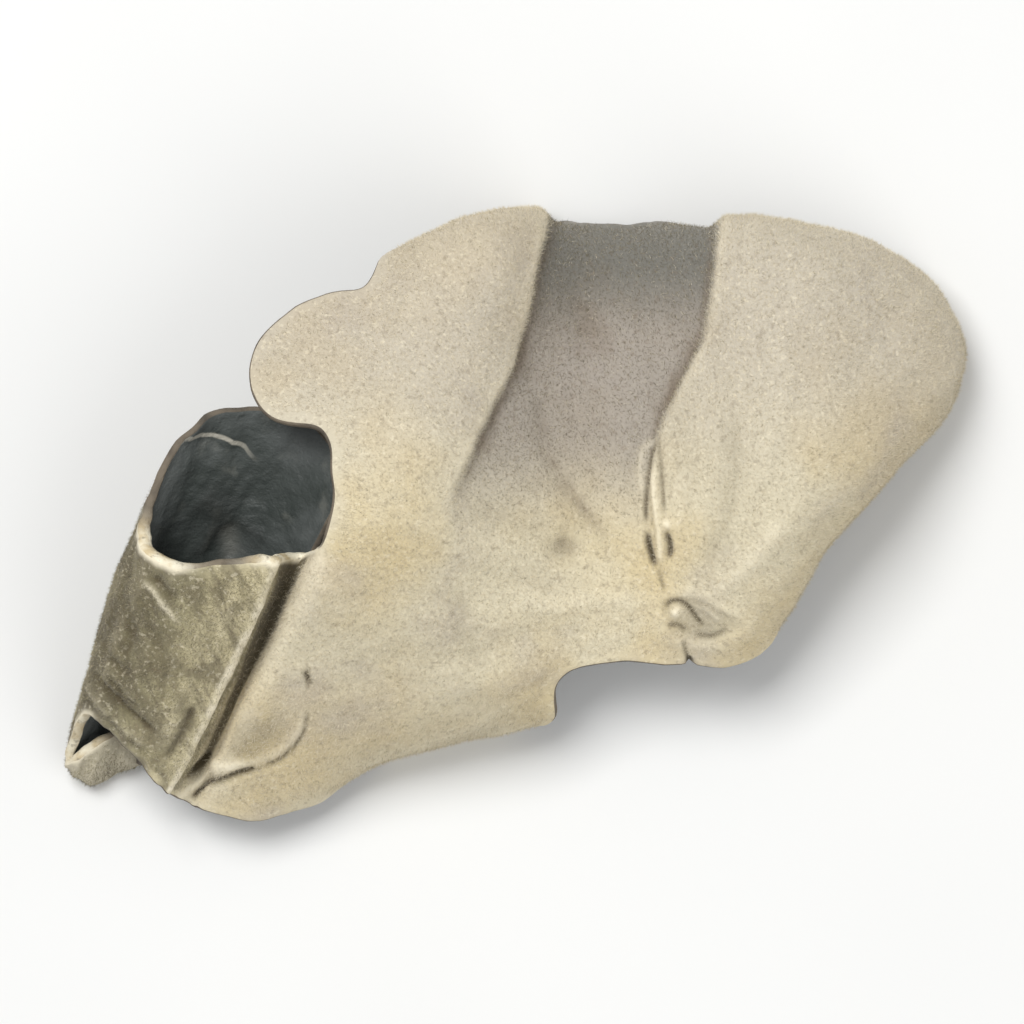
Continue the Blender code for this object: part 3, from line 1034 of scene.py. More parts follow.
@dataclass(frozen=True)
class Wrinkles:
    """The wrinkles that go right through the sheet."""

    rays: Grain = Grain(11, 1.0, 2, 0.15)  # they run out from the scar
    ray_spread: float = 5.6  # how closely they stand round it
    ray_twist: float = 13.0  # length over which they change
    ray_start: Pair = (2.5, 13.0)
    swell: Grain = Grain(12, 7.0, 2, 0.16)
    sway: Grain = Grain(13, 6.0, 1, 0.9)  # it bends the funnel's wrinkles sideways
    coarse: Grain = Grain(14, 1.0, 2, 0.2)
    coarse_size: Pair = (1.5, 9.0)  # across and along the funnel
    fine: Grain = Grain(15, 1.0, 1, 0.07)
    fine_size: Pair = (0.75, 4.0)
    frill: Grain = Grain(16, 3.6, 1, 0.16)
    frill_reach: Pair = (5.0, 0.5)  # distances from the margin
    lamina_end: Pair = (3.0, 0.0)  # girths over which the lamina's wrinkles set in
    funnel_start: Pair = (6.0, 11.0)

    def rise(self, sheet: Sheet, edge: Array, scar: Scar) -> Array:
        """How far they lift the sheet.

        Args:
            sheet: The sheet.
            edge: How far each point is from the margin.
            scar: The scar that the rays run from.

        Returns:
            The rise at each point.
        """
        offset = sheet.flat - np.array(scar.middle)
        reach = np.linalg.norm(offset, axis=1)
        rays = self.rays.heights(unit(offset) * (self.ray_spread + reach / self.ray_twist)[:, None])
        frill = self.frill.heights(sheet.flat) * ease(edge, *self.frill_reach)
        on_lamina = (rays * ease(reach, *self.ray_start) + frill) * ease(sheet.girth, *self.lamina_end)
        swayed = np.column_stack((sheet.girth + self.sway.heights(sheet.flat), sheet.along))
        on_funnel = self.coarse.heights(swayed / self.coarse_size)
        on_funnel += self.fine.heights(swayed / self.fine_size)
        on_funnel *= ease(sheet.girth, *self.funnel_start)
        return on_lamina + self.swell.heights(sheet.flat) + on_funnel


@dataclass(frozen=True)
class Pleat:
    """The painted shade in the deep pleat, and the sharp crest between it and the funnel."""

    darkness: float = 0.95
    near_wall: Pair = (1.2, 2.8)  # girths between which the dark sets in, and ends
    far_wall: Pair = (9.7, 8.6)
    closing: Pair = (-5.0, -15.0)  # places between which it closes in from either wall
    near_closing: float = 2.6
    far_closing: float = 2.4
    foot: Pair = (-18.6, -16.0)
    crest_girth: float = 10.1
    crest_width: float = 0.38
    crest_end: Pair = (1.0, -2.0)

    def dark(self, girth: Array, along: Array) -> Array:
        """How dark the pleat's painted shade makes the sheet.

        Args:
            girth: Each point's girth from the shoulder.
            along: Its place along the shoulder.

        Returns:
            The darkness at each point.
        """
        closing = ease(along, *self.closing)
        near_wall = ease(girth - self.near_closing * closing, *self.near_wall)
        far_wall = ease(girth + self.far_closing * closing, *self.far_wall)
        return self.darkness * near_wall * far_wall * ease(along, *self.foot)

    def crest(self, girth: Array, along: Array) -> Array:
        """How much of the crest there is, from 0 to 1."""
        return bell(girth - self.crest_girth, self.crest_width) * ease(along, *self.crest_end)


@dataclass(frozen=True)
class Lip:
    """The funnel's two open ends: a pale broken lip, worn down in one place, and a far rim."""

    depth: float = -9.0  # how far down the funnel the mouth's lip reaches
    pleat_depth: float = -4.0
    last_angle: float = 168.0  # the lip ends here, and the far rim starts a little further
    rim_angle: float = 180.0
    rim_depth: float = -12.0
    low_depth: float = -14.0
    low_angles: Pair = (140.0, 235.0)
    low_strength: float = 0.8
    worn_left: Pair = (-20.4, -19.4)  # places across, between which the wear sets in
    worn_right: Pair = (-15.4, -16.4)
    wear: float = 0.95
    rounds: int = 8

    def near(self, sheet: Sheet) -> Array:
        """The funnel's points at the near side of the mouth."""
        return (sheet.zone == Zone.FUNNEL) & (sheet.along > self.depth) & (sheet.angle < self.last_angle)

    def far_rim(self, sheet: Sheet) -> Array:
        """The funnel's points at the far side of the mouth."""
        far = (sheet.angle > self.rim_angle) & (sheet.along > self.rim_depth)
        return (sheet.zone == Zone.FUNNEL) & far

    def worn(self, sheet: Sheet) -> Array:
        """How worn the lip is at each point, from 0 to 1."""
        across = sheet.points[:, 0]
        return ease(across, *self.worn_left) * ease(across, *self.worn_right)

    def strength(self, sheet: Sheet) -> Array:
        """How pale the margin is.

        Args:
            sheet: The sheet.

        Returns:
            The strength of the lip's colour at each point, from 0 to 1.
        """
        in_pleat = (sheet.zone == Zone.PLEAT) & (sheet.along > self.pleat_depth)
        lip = 1.0 * (self.near(sheet) | in_pleat)
        low = (sheet.zone == Zone.FUNNEL) & (sheet.along < self.low_depth)
        first, last = self.low_angles
        lip[low & (sheet.angle > first) & (sheet.angle < last)] = self.low_strength
        lip *= 1.0 - self.wear * self.worn(sheet) * (sheet.along > self.depth)
        return sheet.relaxed(lip, self.rounds)


@dataclass
class Marks:
    """What one side of the sheet carries at each point."""

    rise: Array
    pale: Array
    dark: Array

    def add(self, chosen: Array, rise: Array, pale: Array, dark: Array) -> None:
        """Adds to them.

        Args:
            chosen: The points that it is added to.
            rise: What their rise gets.
            pale: How much paler they get.
            dark: How much darker they get.
        """
        self.rise[chosen] += rise
        self.pale[chosen] += pale
        self.dark[chosen] += dark


@dataclass
class Flesh:
    """The whole sheet with its relief and its thickness, as one closed mesh."""

    sheet: Sheet
    scar: Scar = Scar()
    valley: Valley = Valley()
    inner_roll: InnerRoll = InnerRoll()
    wrinkles: Wrinkles = Wrinkles()
    pleat: Pleat = Pleat()
    lip: Lip = Lip()
    crest_height: float = 0.26
    thickness: float = 1.15
    margin_thickness: float = 0.66
    lip_thickness: float = 0.95
    lip_wear: float = 0.3
    far_rim_thickness: float = 0.5
    taper: Pair = (3.2, 0.0)  # distances from the margin between which it thins
    uneven: Grain = Grain(21, 2.4, 2, 0.08)  # share of the thickness
    back_grain: Grain = Grain(22, 0.9, 2, 0.035)
    hollow_grain: Grain = Grain(23, 1.4, 2, 0.05)
    pressed_through: float = 0.75  # share of the back's relief that reaches the hollow side
    flap_angle: float = 196.0  # the low end's folded flap, which is paler
    flap_depth: float = -19.5
    flap_pale: float = 0.4
    facing: Pair = (0.05, 0.35)  # how far the back faces up where marks start to show
    funnel_start: Pair = (5.0, 10.5)  # girths between which the funnel's finish sets in
    middle_rounds: int = 14
    thickness_rounds: int = 6
    relief_rounds: int = 30
    rim_turns: tuple[float, ...] = (50.0, 0.0, -50.0)  # degrees of the rings of the round margin
    rim_bulge: float = 0.5

    def __post_init__(self) -> None:
        """Smooths the sheet, and works out what shapes both of its sides."""
        sheet = self.sheet
        sheet.points = sheet.relaxed(sheet.points, self.middle_rounds)
        self.edge = sheet.margin_distance()
        self.out = sheet.normals(sheet.points)
        self.funnel = ease(sheet.girth, *self.funnel_start)
        self.shown = {Side.BACK: ease(self.out[:, 2], *self.facing), Side.HOLLOW: np.ones(len(self.out))}
        self.marks = {side: Marks(*np.zeros((3, len(self.out)))) for side in Side}

    def shape(self) -> None:
        """Works out both sides of the sheet and what their finishes read."""
        self.press_creases()
        self.mark_lamina()
        self.mark_funnel()
        self.thicken()

    def press_creases(self) -> None:
        """Presses every crease into its side of the sheet, with its paleness and its darkness as painted
        shade.
        """
        places = self.sheet.points[:, :2]
        for folds in ALL_FOLDS:
            marks, shown = self.marks[folds.side], self.shown[folds.side]
            stretch = np.isin(self.sheet.zone, folds.zones)
            for crease in folds.creases:
                low, high = crease.box()
                chosen = np.flatnonzero(stretch & ((places > low) & (places < high)).all(axis=1))
                near = crease.strength(places[chosen]) * shown[chosen]
                marks.add(chosen, crease.height * near, crease.pale * near, crease.dark * near)

    def mark_lamina(self) -> None:
        """Adds the wrinkles, the scar and the valley, whose floor gets painted shade."""
        sheet, back = self.sheet, self.marks[Side.BACK]
        places, on_lamina = sheet.points[:, :2], sheet.zone == Zone.LAMINA
        scar = [values * self.shown[Side.BACK] * on_lamina for values in self.scar.shape(places)]
        back.add(slice(None), *scar)
        # The valley's floor, sunk and darkened as painted shade.
        self.shaded_valley = self.valley.floor(places) * on_lamina
        back.rise += self.wrinkles.rise(sheet, self.edge, self.scar) - self.valley.depth * self.shaded_valley

    def mark_funnel(self) -> None:
        """Adds the inner roll, the pleat with its painted shade and its crest, the lip and the pale flap.
        """
        sheet, back = self.sheet, self.marks[Side.BACK]
        on_funnel = sheet.zone == Zone.FUNNEL
        rise, gap, strength = self.inner_roll.shape(np.column_stack((sheet.girth, sheet.along)))
        self.marks[Side.HOLLOW].rise += rise * on_funnel
        self.inner_gap, self.inner_strength = gap.clip(-1.0, 1.0), strength * on_funnel
        self.crest = self.pleat.crest(sheet.girth, sheet.along)
        back.rise += self.crest_height * self.crest
        back.dark += self.pleat.dark(sheet.girth, sheet.along)
        self.lip_strength = self.lip.strength(sheet)
        flap = (sheet.angle > self.flap_angle) & (sheet.along < self.flap_depth)
        back.pale += self.flap_pale * sheet.relaxed(1.0 * flap, self.lip.rounds)

    def thicken(self) -> None:
        """Lays the two sides on either side of the middle surface."""
        sheet, rise = self.sheet, self.marks[Side.BACK].rise
        lip = self.lip_thickness - self.lip_wear * self.lip.worn(sheet)
        end = np.where(self.lip.near(sheet), lip, self.margin_thickness)
        end = np.where(self.lip.far_rim(sheet), self.far_rim_thickness, end)
        half = (self.thickness + (end - self.thickness) * ease(self.edge, *self.taper)) / 2.0
        half = sheet.relaxed(half, self.thickness_rounds) * (1.0 + self.uneven.heights(sheet.flat))
        above = rise + half + self.back_grain.heights(sheet.flat)
        below = self.pressed_through * rise - half + self.hollow_grain.heights(sheet.flat)
        below += self.marks[Side.HOLLOW].rise
        self.back = sheet.points + self.out * above[:, None]
        self.hollow = sheet.points + self.out * below[:, None]

    def relief(self, points: Array) -> Array:
        """How far each point of a side stands above the surface round it, towards the back."""
        smooth = self.sheet.relaxed(points, self.relief_rounds)
        return ((points - smooth) * self.sheet.normals(smooth)).sum(axis=1)

    def rim(self) -> list[Array]:
        """The rings of the round margin.

        Returns:
            Each ring's points, from the back's side to the hollow side.
        """
        margin = self.sheet.margin
        middle = (self.back[margin] + self.hollow[margin]) / 2.0
        half = (self.back[margin] - self.hollow[margin]) / 2.0
        way = np.roll(middle, -1, axis=0) - np.roll(middle, 1, axis=0)
        outward = unit(np.cross(way, half))
        bulge = np.linalg.norm(half, axis=1)[:, None] * self.rim_bulge
        turns = np.radians(self.rim_turns)
        return [middle + half * math.sin(turn) + outward * bulge * math.cos(turn) for turn in turns]

    def point_values(self) -> dict[str, tuple[Array, Array]]:
        """What the finishes read.

        Returns:
            The name of each measure, with its values on the back and on the hollow side.
        """
        back, hollow = self.marks[Side.BACK], self.marks[Side.HOLLOW]
        girth, none = self.sheet.girth, np.zeros(len(self.back))
        return {
            "edge": (self.edge, self.edge),
            "pale": (back.pale, hollow.pale),
            "dark": (back.dark, hollow.dark),
            "funnel": (self.funnel, self.funnel),
            "girth": (girth, girth),
            "crest": (self.crest, none),
            "inner_gap": (self.inner_gap, self.inner_gap),
            "inner_roll": (none, self.inner_strength),
            "relief": (self.relief(self.back), -self.relief(self.hollow)),
            "shaded_valley": (self.shaded_valley, none),
            "lip": (self.lip_strength, self.lip_strength),
        }

    def finished(self, materials: list[bpy.types.Material]) -> bpy.types.Object:
        """The closed mesh.

        Args:
            materials: The finishes of the back, the hollow side and the margin.

        Returns:
            The object.
        """
        sheet, margin, rings = self.sheet, self.sheet.margin, self.rim()
        count, rim_count = len(self.back), len(margin)
        points = np.vstack((self.back, self.hollow, *rings))
        points[:, 2] = points[:, 2].clip(0.0)
        ring_starts = 2 * count + rim_count * np.arange(len(rings))
        loops = [margin, *(start + np.arange(rim_count) for start in ring_starts), margin + count]
        faces = sheet.faces.tolist() + (sheet.faces[:, ::-1] + count).tolist()
        for upper, lower in zip(loops, loops[1:]):
            next_upper, next_lower = np.roll(upper, -1), np.roll(lower, -1)
            faces += np.column_stack((next_upper, upper, lower, next_lower)).tolist()
        mesh = bpy.data.meshes.new("wood_ear_flesh")
        mesh.from_pydata(to_metres(points), [], faces)
        finish = np.full(len(faces), 2)
        finish[: 2 * len(sheet.faces)] = np.repeat((0, 1), len(sheet.faces))
        mesh.polygons.foreach_set("material_index", finish)
        for material in materials:
            mesh.materials.append(material)
        mesh.shade_smooth()
        for name, (back, hollow) in self.point_values().items():
            set_values(mesh, name, np.concatenate((back, hollow, *[back[margin]] * len(rings))))
        flat = np.vstack((sheet.flat, sheet.flat, *[sheet.flat[margin]] * len(rings)))
        set_uv(mesh, "flat", flat * MM)
        ear = bpy.data.objects.new("wood_ear_flesh", mesh)
        bpy.context.scene.collection.objects.link(ear)
        return ear


def set_values(mesh: bpy.types.Mesh, name: str, values: Array) -> None:
    """Gives each point of a mesh a value.

    Args:
        mesh: The mesh.
        name: The attribute's name.
        values: One value for each point.
    """
    attribute = mesh.attributes.new(name, "FLOAT", "POINT")
    attribute.data.foreach_set("value", values.astype(np.float32))


def set_uv(mesh: bpy.types.Mesh, name: str, places: Array) -> None:
    """Gives a mesh a UV map.

    Args:
        mesh: The mesh.
        name: The map's name.
        places: The place of each point on the map.
    """
    corners = np.zeros(len(mesh.loops), int)
    mesh.loops.foreach_get("vertex_index", corners)
    uv = mesh.uv_layers.new(name=name)
    uv.data.foreach_set("uv", places[corners].astype(np.float32).ravel())


def paint(red: int, green: int, blue: int) -> Colour:
    """A shader's colour.

    Args:
        red: The red of a colour chart, from 0 to 255.
        green: Its green.
        blue: Its blue.

    Returns:
        The colour as amounts of light.
    """

    def light(byte: int) -> float:
        """The amount of light that a chart's value stands for."""
        share = byte / 255
        return share / 12.92 if share <= 0.04045 else ((share + 0.055) / 1.055) ** 2.4

    return light(red), light(green), light(blue), 1.0


def add_node(
    tree: bpy.types.NodeTree, kind: str, inputs: dict | None = None, **settings: object
) -> bpy.types.Node:
    """A new node.

    Args:
        tree: The tree that gets it.
        kind: Its type.
        inputs: Values of its inputs, or the sockets that they are linked to.
        settings: Values of its properties.

    Returns:
        The node.
    """
    made = tree.nodes.new(kind)
    for name, value in settings.items():
        setattr(made, name, value)
    for key, value in (inputs or {}).items():
        if isinstance(value, Socket):
            tree.links.new(value, made.inputs[key])
        else:
            made.inputs[key].default_value = value
    return made


@dataclass(frozen=True)
class Fade:
    """A smooth step of a value: where it starts and ends, and its share at either."""

    low: float
    high: float
    first: float = 0.0
    last: float = 1.0


@dataclass(frozen=True)
class Mottle:
    """Patches of a size in metres, as a share that fades in where their noise is strong."""

    size: float
    detail: float
    fade: Fade


@dataclass(frozen=True)
class Relief:
    """A fine relief: the size of its grains and their depth, in metres."""

    size: float
    detail: float
    depth: float


@dataclass
class Finish:
    """A material's nodes, built step by step round its shader."""

    name: str
    noise_roughness: float = 0.55

    def __post_init__(self) -> None:
        """Makes the material."""
        self.material = bpy.data.materials.new(self.name)
        self.material.use_nodes = True
        self.tree = self.material.node_tree
        self.shader = self.tree.nodes["Principled BSDF"]
        self.where = self.node("ShaderNodeTexCoord").outputs["Object"]

    def node(self, kind: str, inputs: dict | None = None, **settings: object) -> bpy.types.Node:
        """A new node, with values or sockets at its inputs."""
        return add_node(self.tree, kind, inputs, **settings)

    def noise(self, size: float, detail: float, where: Socket | None = None) -> Socket:
        """Noise.

        Args:
            size: The size of its patches.
            detail: How fine it gets.
            where: The places that it is laid over, or else the object itself.

        Returns:
            The noise's value.
        """
        inputs = {
            "Vector": where or self.where,
            "Scale": 1.0 / size,
            "Detail": detail,
            "Roughness": self.noise_roughness,
        }
        return self.node("ShaderNodeTexNoise", inputs).outputs["Fac"]

    def fade(self, value: Socket, fade: Fade) -> Socket:
        """A share that follows a value."""
        inputs = {"Value": value, 1: fade.low, 2: fade.high, 3: fade.first, 4: fade.last}
        return self.node("ShaderNodeMapRange", inputs, interpolation_type="SMOOTHSTEP").outputs[0]

    def mottle(self, mottle: Mottle) -> Socket:
        """A share that follows patches."""
        return self.fade(self.noise(mottle.size, mottle.detail), mottle.fade)

    def times(self, first: Share, second: Share) -> Socket:
        """Two shares multiplied."""
        made = self.node("ShaderNodeMath", {0: first, 1: second}, operation="MULTIPLY", use_clamp=True)
        return made.outputs[0]

    def read(self, attribute: str) -> Socket:
        """A value of the mesh's points."""
        return self.node("ShaderNodeAttribute", attribute_name=attribute).outputs["Fac"]

    def layered(self, base: Paint, *layers: tuple[Paint, Share]) -> Socket:
        """Colours laid one over another.

        Args:
            base: The lowest colour.
            *layers: The colours over it, each with its share.

        Returns:
            The mixed colour.
        """
        for paint_over, share in layers:
            inputs = {0: share, 6: base, 7: paint_over}
            base = self.node("ShaderNodeMix", inputs, data_type="RGBA").outputs[2]
        return base

    def bumps(self, *reliefs: Relief) -> Socket:
        """A skin with fine reliefs.

        Args:
            *reliefs: The reliefs, each on top of the one before.

        Returns:
            The direction that the shader reads.
        """
        inputs = {"Strength": 1.0}
        for relief in reliefs:
            inputs |= {"Height": self.noise(relief.size, relief.detail), "Distance": relief.depth}
            inputs["Normal"] = self.node("ShaderNodeBump", inputs).outputs[0]
        return inputs["Normal"]

    def dress(self, **values: object) -> bpy.types.Material:
        """Sets the shader's sockets.

        Args:
            **values: Values or sockets, by the shader's own names with underscores.

        Returns:
            The material.
        """
        for name, value in values.items():
            socket = self.shader.inputs[name.replace("_", " ")]
            if isinstance(value, Socket):
                self.tree.links.new(value, socket)
            else:
                socket.default_value = value
        return self.material


@dataclass(frozen=True)
class BackSkin:
    """The velvety back: beige on the lamina, brownish olive on the funnel, with painted shade in its
    valley, hollows, creases and pleat and down the funnel's side, and painted light on raised bits and
    beside the funnel's ridge.
    """

    beige: Colour = paint(210, 201, 175)
    warm: Colour = paint(207, 191, 152)
    cool: Colour = paint(176, 166, 152)
    straw: Colour = paint(200, 189, 152)
    olive: Colour = paint(126, 120, 90)
    umber: Colour = paint(72, 64, 44)
    taupe: Colour = paint(112, 96, 78)
    cream: Colour = paint(236, 226, 200)
    shade_mauve: Colour = paint(153, 145, 137)
    shade_slate: Colour = paint(104, 104, 98)
    ash: Colour = paint(178, 170, 160)
    warmth: Mottle = Mottle(0.011, 3.0, Fade(0.4, 0.66))
    greyness: Mottle = Mottle(0.007, 4.0, Fade(0.5, 0.74, 0.0, 0.6))
    # By the place towards the far margin, in metres: greyer towards it, and deeper painted shade in the
    # valley towards it.
    far_ash: Fade = Fade(-0.002, 0.012, 0.0, 0.62)
    far_valley_shade: Fade = Fade(0.0108, 0.0165, 0.0, 0.85)
    valley_shade_share: float = 0.8
    # By the girth from the shoulder: painted light beside the ridge and painted shade down the flank.
    shaded_past_ridge: Fade = Fade(10.6, 16.5)
    flank_shade: Fade = Fade(14.5, 20.0, 0.0, 0.7)
    blotches: Mottle = Mottle(0.0022, 4.0, Fade(0.44, 0.62, 0.0, 0.6))
    streak_turn: float = -0.44
    streak_size: Pair = (0.0007, 0.006)
    streaks: Fade = Fade(0.46, 0.7, 0.0, 0.7)
    funnel_share: float = 0.92
    specks: Mottle = Mottle(0.00042, 1.0, Fade(0.56, 0.74, 0.0, 0.3))
    glints: Mottle = Mottle(0.0003, 1.0, Fade(0.56, 0.72, 0.0, 0.35))
    valley_glints: Fade = Fade(0.9, 0.0, 0.15, 1.0)
    # By how far the skin stands above what is round it: painted shade in hollows and painted highlight on
    # raised bits.
    sunken: Fade = Fade(-0.03, -0.3, 0.0, 0.7)
    raised: Fade = Fade(0.06, 0.4, 0.0, 0.55)
    raised_funnel: Fade = Fade(0.0, 1.0, 1.0, 0.4)
    # Painted shade in the creases, the pleat and the scar.
    painted_shade_umber: float = 0.95
    crest: Fade = Fade(0.25, 0.8)
    wear: Mottle = Mottle(0.0022, 3.0, Fade(0.36, 0.6, 0.1, 1.0))
    lip: Fade = Fade(0.45, 0.0)
    fibres: Relief = Relief(0.00022, 2.0, 0.00006)
    pores: Relief = Relief(0.0007, 3.0, 0.00012)

    def streaked(self, skin: Finish) -> Socket:
        """Noise drawn out into streaks that run down the funnel.

        Args:
            skin: The finish that gets it.

        Returns:
            The noise.
        """
        place = skin.node("ShaderNodeUVMap", uv_map="flat").outputs[0]
        inputs = {"Vector": place, "Angle": self.streak_turn}
        turned = skin.node("ShaderNodeVectorRotate", inputs, rotation_type="Z_AXIS").outputs[0]
        across, along = self.streak_size
        inputs = {0: turned, 1: (1.0 / across, 1.0 / along, 1.0)}
        drawn_out = skin.node("ShaderNodeVectorMath", inputs, operation="MULTIPLY").outputs[0]
        return skin.noise(1.0, 3.0, drawn_out)

    def material(self) -> bpy.types.Material:
        """Builds it.

        Returns:
            The material.
        """
        skin = Finish("velvet_back")
        far = skin.node("ShaderNodeSeparateXYZ", {0: skin.where}).outputs["Y"]
        shaded_valley, funnel, girth = skin.read("shaded_valley"), skin.read("funnel"), skin.read("girth")
        relief = skin.read("relief")
        lamina_colour = skin.layered(
            self.beige,
            (self.warm, skin.mottle(self.warmth)),
            (self.cool, skin.mottle(self.greyness)),
            (self.ash, skin.fade(far, self.far_ash)),
            # Painted shade over the valley's floor, deepest towards the far margin.
            (self.shade_mauve, skin.times(shaded_valley, self.valley_shade_share)),
            (self.shade_slate, skin.times(shaded_valley, skin.fade(far, self.far_valley_shade))),
        )
        # Straw beside the ridge as painted light, olive and umber down the flank as painted shade, then the
        # funnel's own blotches and streaks.
        funnel_colour = skin.layered(
            self.straw,
            (self.olive, skin.fade(girth, self.shaded_past_ridge)),
            (self.umber, skin.fade(girth, self.flank_shade)),
            (self.umber, skin.mottle(self.blotches)),
            (self.umber, skin.fade(self.streaked(skin), self.streaks)),
        )
        glints = skin.times(skin.mottle(self.glints), skin.fade(shaded_valley, self.valley_glints))
        raised = skin.times(skin.fade(relief, self.raised), skin.fade(funnel, self.raised_funnel))
        crest = skin.times(skin.fade(skin.read("crest"), self.crest), skin.mottle(self.wear))
        lip = skin.times(skin.fade(skin.read("edge"), self.lip), skin.read("lip"))
        colour = skin.layered(
            lamina_colour,
            (funnel_colour, skin.times(funnel, self.funnel_share)),
            (self.taupe, skin.mottle(self.specks)),
            (self.cream, glints),
            # Painted shade in hollows and painted highlight on raised bits, then painted shade in creases,
            # the pleat and the scar.
            (self.taupe, skin.fade(relief, self.sunken)),
            (self.cream, raised),
            (self.umber, skin.times(skin.read("dark"), self.painted_shade_umber)),
            (self.cream, skin.read("pale")),
            (self.cream, crest),
            (self.cream, lip),
        )
        return skin.dress(
            Base_Color=colour,
            Roughness=0.93,
            Specular_IOR_Level=0.2,
            Sheen_Weight=0.25,
            Sheen_Roughness=0.6,
            Sheen_Tint=(0.9, 0.84, 0.74, 1.0),
            Normal=skin.bumps(self.fibres, self.pores),
        )


@dataclass(frozen=True)
class HollowSkin:
    """The smooth hollow side: nearly black, with a faint dusty bloom, painted light on the funnel's side
    wall and painted shade in its creases.
    """

    black: Colour = paint(62, 67, 64)
    blue: Colour = paint(88, 92, 90)
    bloom: Colour = paint(120, 120, 112)
    cream: Colour = paint(214, 208, 192)
    pit: Colour = paint(36, 38, 36)
    ash: Colour = paint(122, 126, 124)
    blueness: Mottle = Mottle(0.006, 3.0, Fade(0.38, 0.64))
    dust: Mottle = Mottle(0.0028, 5.0, Fade(0.56, 0.78, 0.0, 0.6))
    # Painted light on the funnel's side wall, between two girths from the shoulder.
    lit_wall_start: Fade = Fade(18.5, 21.5)
    lit_wall_end: Fade = Fade(26.5, 23.0, 0.0, 0.8)
    # Paler raised bits: dusty bloom and painted highlight.
    raised: Fade = Fade(0.03, 0.3, 0.0, 0.6)
    # Painted shade in the creases.
    painted_shade_pit: float = 0.9
    inner_edge: Fade = Fade(0.22, 0.08, 0.0, 0.6)
    lip: Fade = Fade(0.3, 0.0)
    roughness: Mottle = Mottle(0.002, 4.0, Fade(0.3, 0.7, 0.42, 0.66))
    wrinkles: Relief = Relief(0.0011, 4.0, 0.00022)
    grain: Relief = Relief(0.00025, 1.0, 0.00003)

    def material(self) -> bpy.types.Material:
        """Builds it.

        Returns:
            The material.
        """
        skin = Finish("dark_hollow")
        girth = skin.read("girth")
        inputs = {0: skin.read("inner_gap"), 1: 0.0}
        gap = skin.node("ShaderNodeMath", inputs, operation="ABSOLUTE", use_clamp=True).outputs[0]
        colour = skin.layered(
            self.black,
            (self.blue, skin.mottle(self.blueness)),
            (self.bloom, skin.mottle(self.dust)),
            # Painted light on the side wall, bloom with painted highlight on raised bits, and painted shade
            # in the creases.
            (self.ash, skin.times(skin.fade(girth, self.lit_wall_start), skin.fade(girth, self.lit_wall_end))),
            (self.bloom, skin.fade(skin.read("relief"), self.raised)),
            (self.pit, skin.times(skin.read("dark"), self.painted_shade_pit)),
            (self.cream, skin.read("pale")),
            (self.cream, skin.times(skin.fade(gap, self.inner_edge), skin.read("inner_roll"))),
            (self.cream, skin.times(skin.fade(skin.read("edge"), self.lip), skin.read("lip"))),
        )
        return skin.dress(
            Base_Color=colour,
            Roughness=skin.mottle(self.roughness),
            Specular_IOR_Level=0.45,
            Normal=skin.bumps(self.wrinkles, self.grain),
        )


@dataclass(frozen=True)
class MarginSkin:
    """The margin: cream broken flesh at the lips, and elsewhere brown, partly its own colour and partly
    painted shade along the edge.
    """

    cream: Colour = paint(240, 232, 208)
    straw: Colour = paint(206, 188, 150)
    # Taupe and brown of the plain margin: its own colour, darkened as painted shade along the edge.
    taupe: Colour = paint(116, 106, 92)
    brown: Colour = paint(78, 72, 64)
    lip_mottle: Mottle = Mottle(0.0016, 4.0, Fade(0.42, 0.68))
    plain_mottle: Mottle = Mottle(0.0022, 3.0, Fade(0.4, 0.7))
    specks: Mottle = Mottle(0.0005, 2.0, Fade(0.55, 0.75, 0.0, 0.6))
    crumbs: Relief = Relief(0.0003, 3.0, 0.00008)

    def material(self) -> bpy.types.Material:
        """Builds it.

        Returns:
            The material.
        """
        skin = Finish("pale_margin")
        lip = skin.layered(self.cream, (self.straw, skin.mottle(self.lip_mottle)))
        colour = skin.layered(
            self.taupe,
            (self.brown, skin.mottle(self.plain_mottle)),
            (lip, skin.read("lip")),
            (self.taupe, skin.mottle(self.specks)),
        )
        normal = skin.bumps(self.crumbs)
        return skin.dress(Base_Color=colour, Roughness=0.8, Specular_IOR_Level=0.3, Normal=normal)


@dataclass(frozen=True)
class HairFinish:
    """Hairs of one plain colour."""

    name: str
    colour: Colour

    def material(self) -> bpy.types.Material:
        """Builds it.

        Returns:
            The material.
        """
        hair = Finish(self.name)
        return hair.dress(
            Base_Color=self.colour,
            Roughness=0.85,
            Specular_IOR_Level=0.25,
            Sheen_Weight=0.3,
            Sheen_Roughness=0.5,
        )


class Stand(Enum):
    """Where a kind of hair grows."""

    LAMINA = "lamina"
    MOTTLE = "mottle"
    FUNNEL = "funnel"
    # Taupe hairs in the funnel's tufts, and as painted shade on its flank and in the valley.
    TUFTS_AND_SHADE = "shade"


@dataclass(frozen=True)
class Hairs:
    """One kind of the down's hairs."""

    name: str
    finish: HairFinish
    stand: Stand
    length: float
    width: float
    seed: int
    count: int = 48000
    lean: float = 1.5


KINDS_OF_HAIR = (
    Hairs("down_cream", HairFinish("cream_hair", paint(225, 216, 194)), Stand.LAMINA, 0.28, 0.021, 31),
    Hairs("down_beige", HairFinish("beige_hair", paint(213, 202, 176)), Stand.LAMINA, 0.3, 0.021, 32),
    Hairs("down_fawn", HairFinish("fawn_hair", paint(198, 186, 160)), Stand.MOTTLE, 0.3, 0.021, 35),
    Hairs("down_olive", HairFinish("olive_hair", paint(146, 138, 108)), Stand.FUNNEL, 0.24, 0.026, 33),
    Hairs("down_taupe", HairFinish("taupe_hair", paint(108, 100, 78)), Stand.TUFTS_AND_SHADE, 0.24, 0.028, 34, 34000),
)


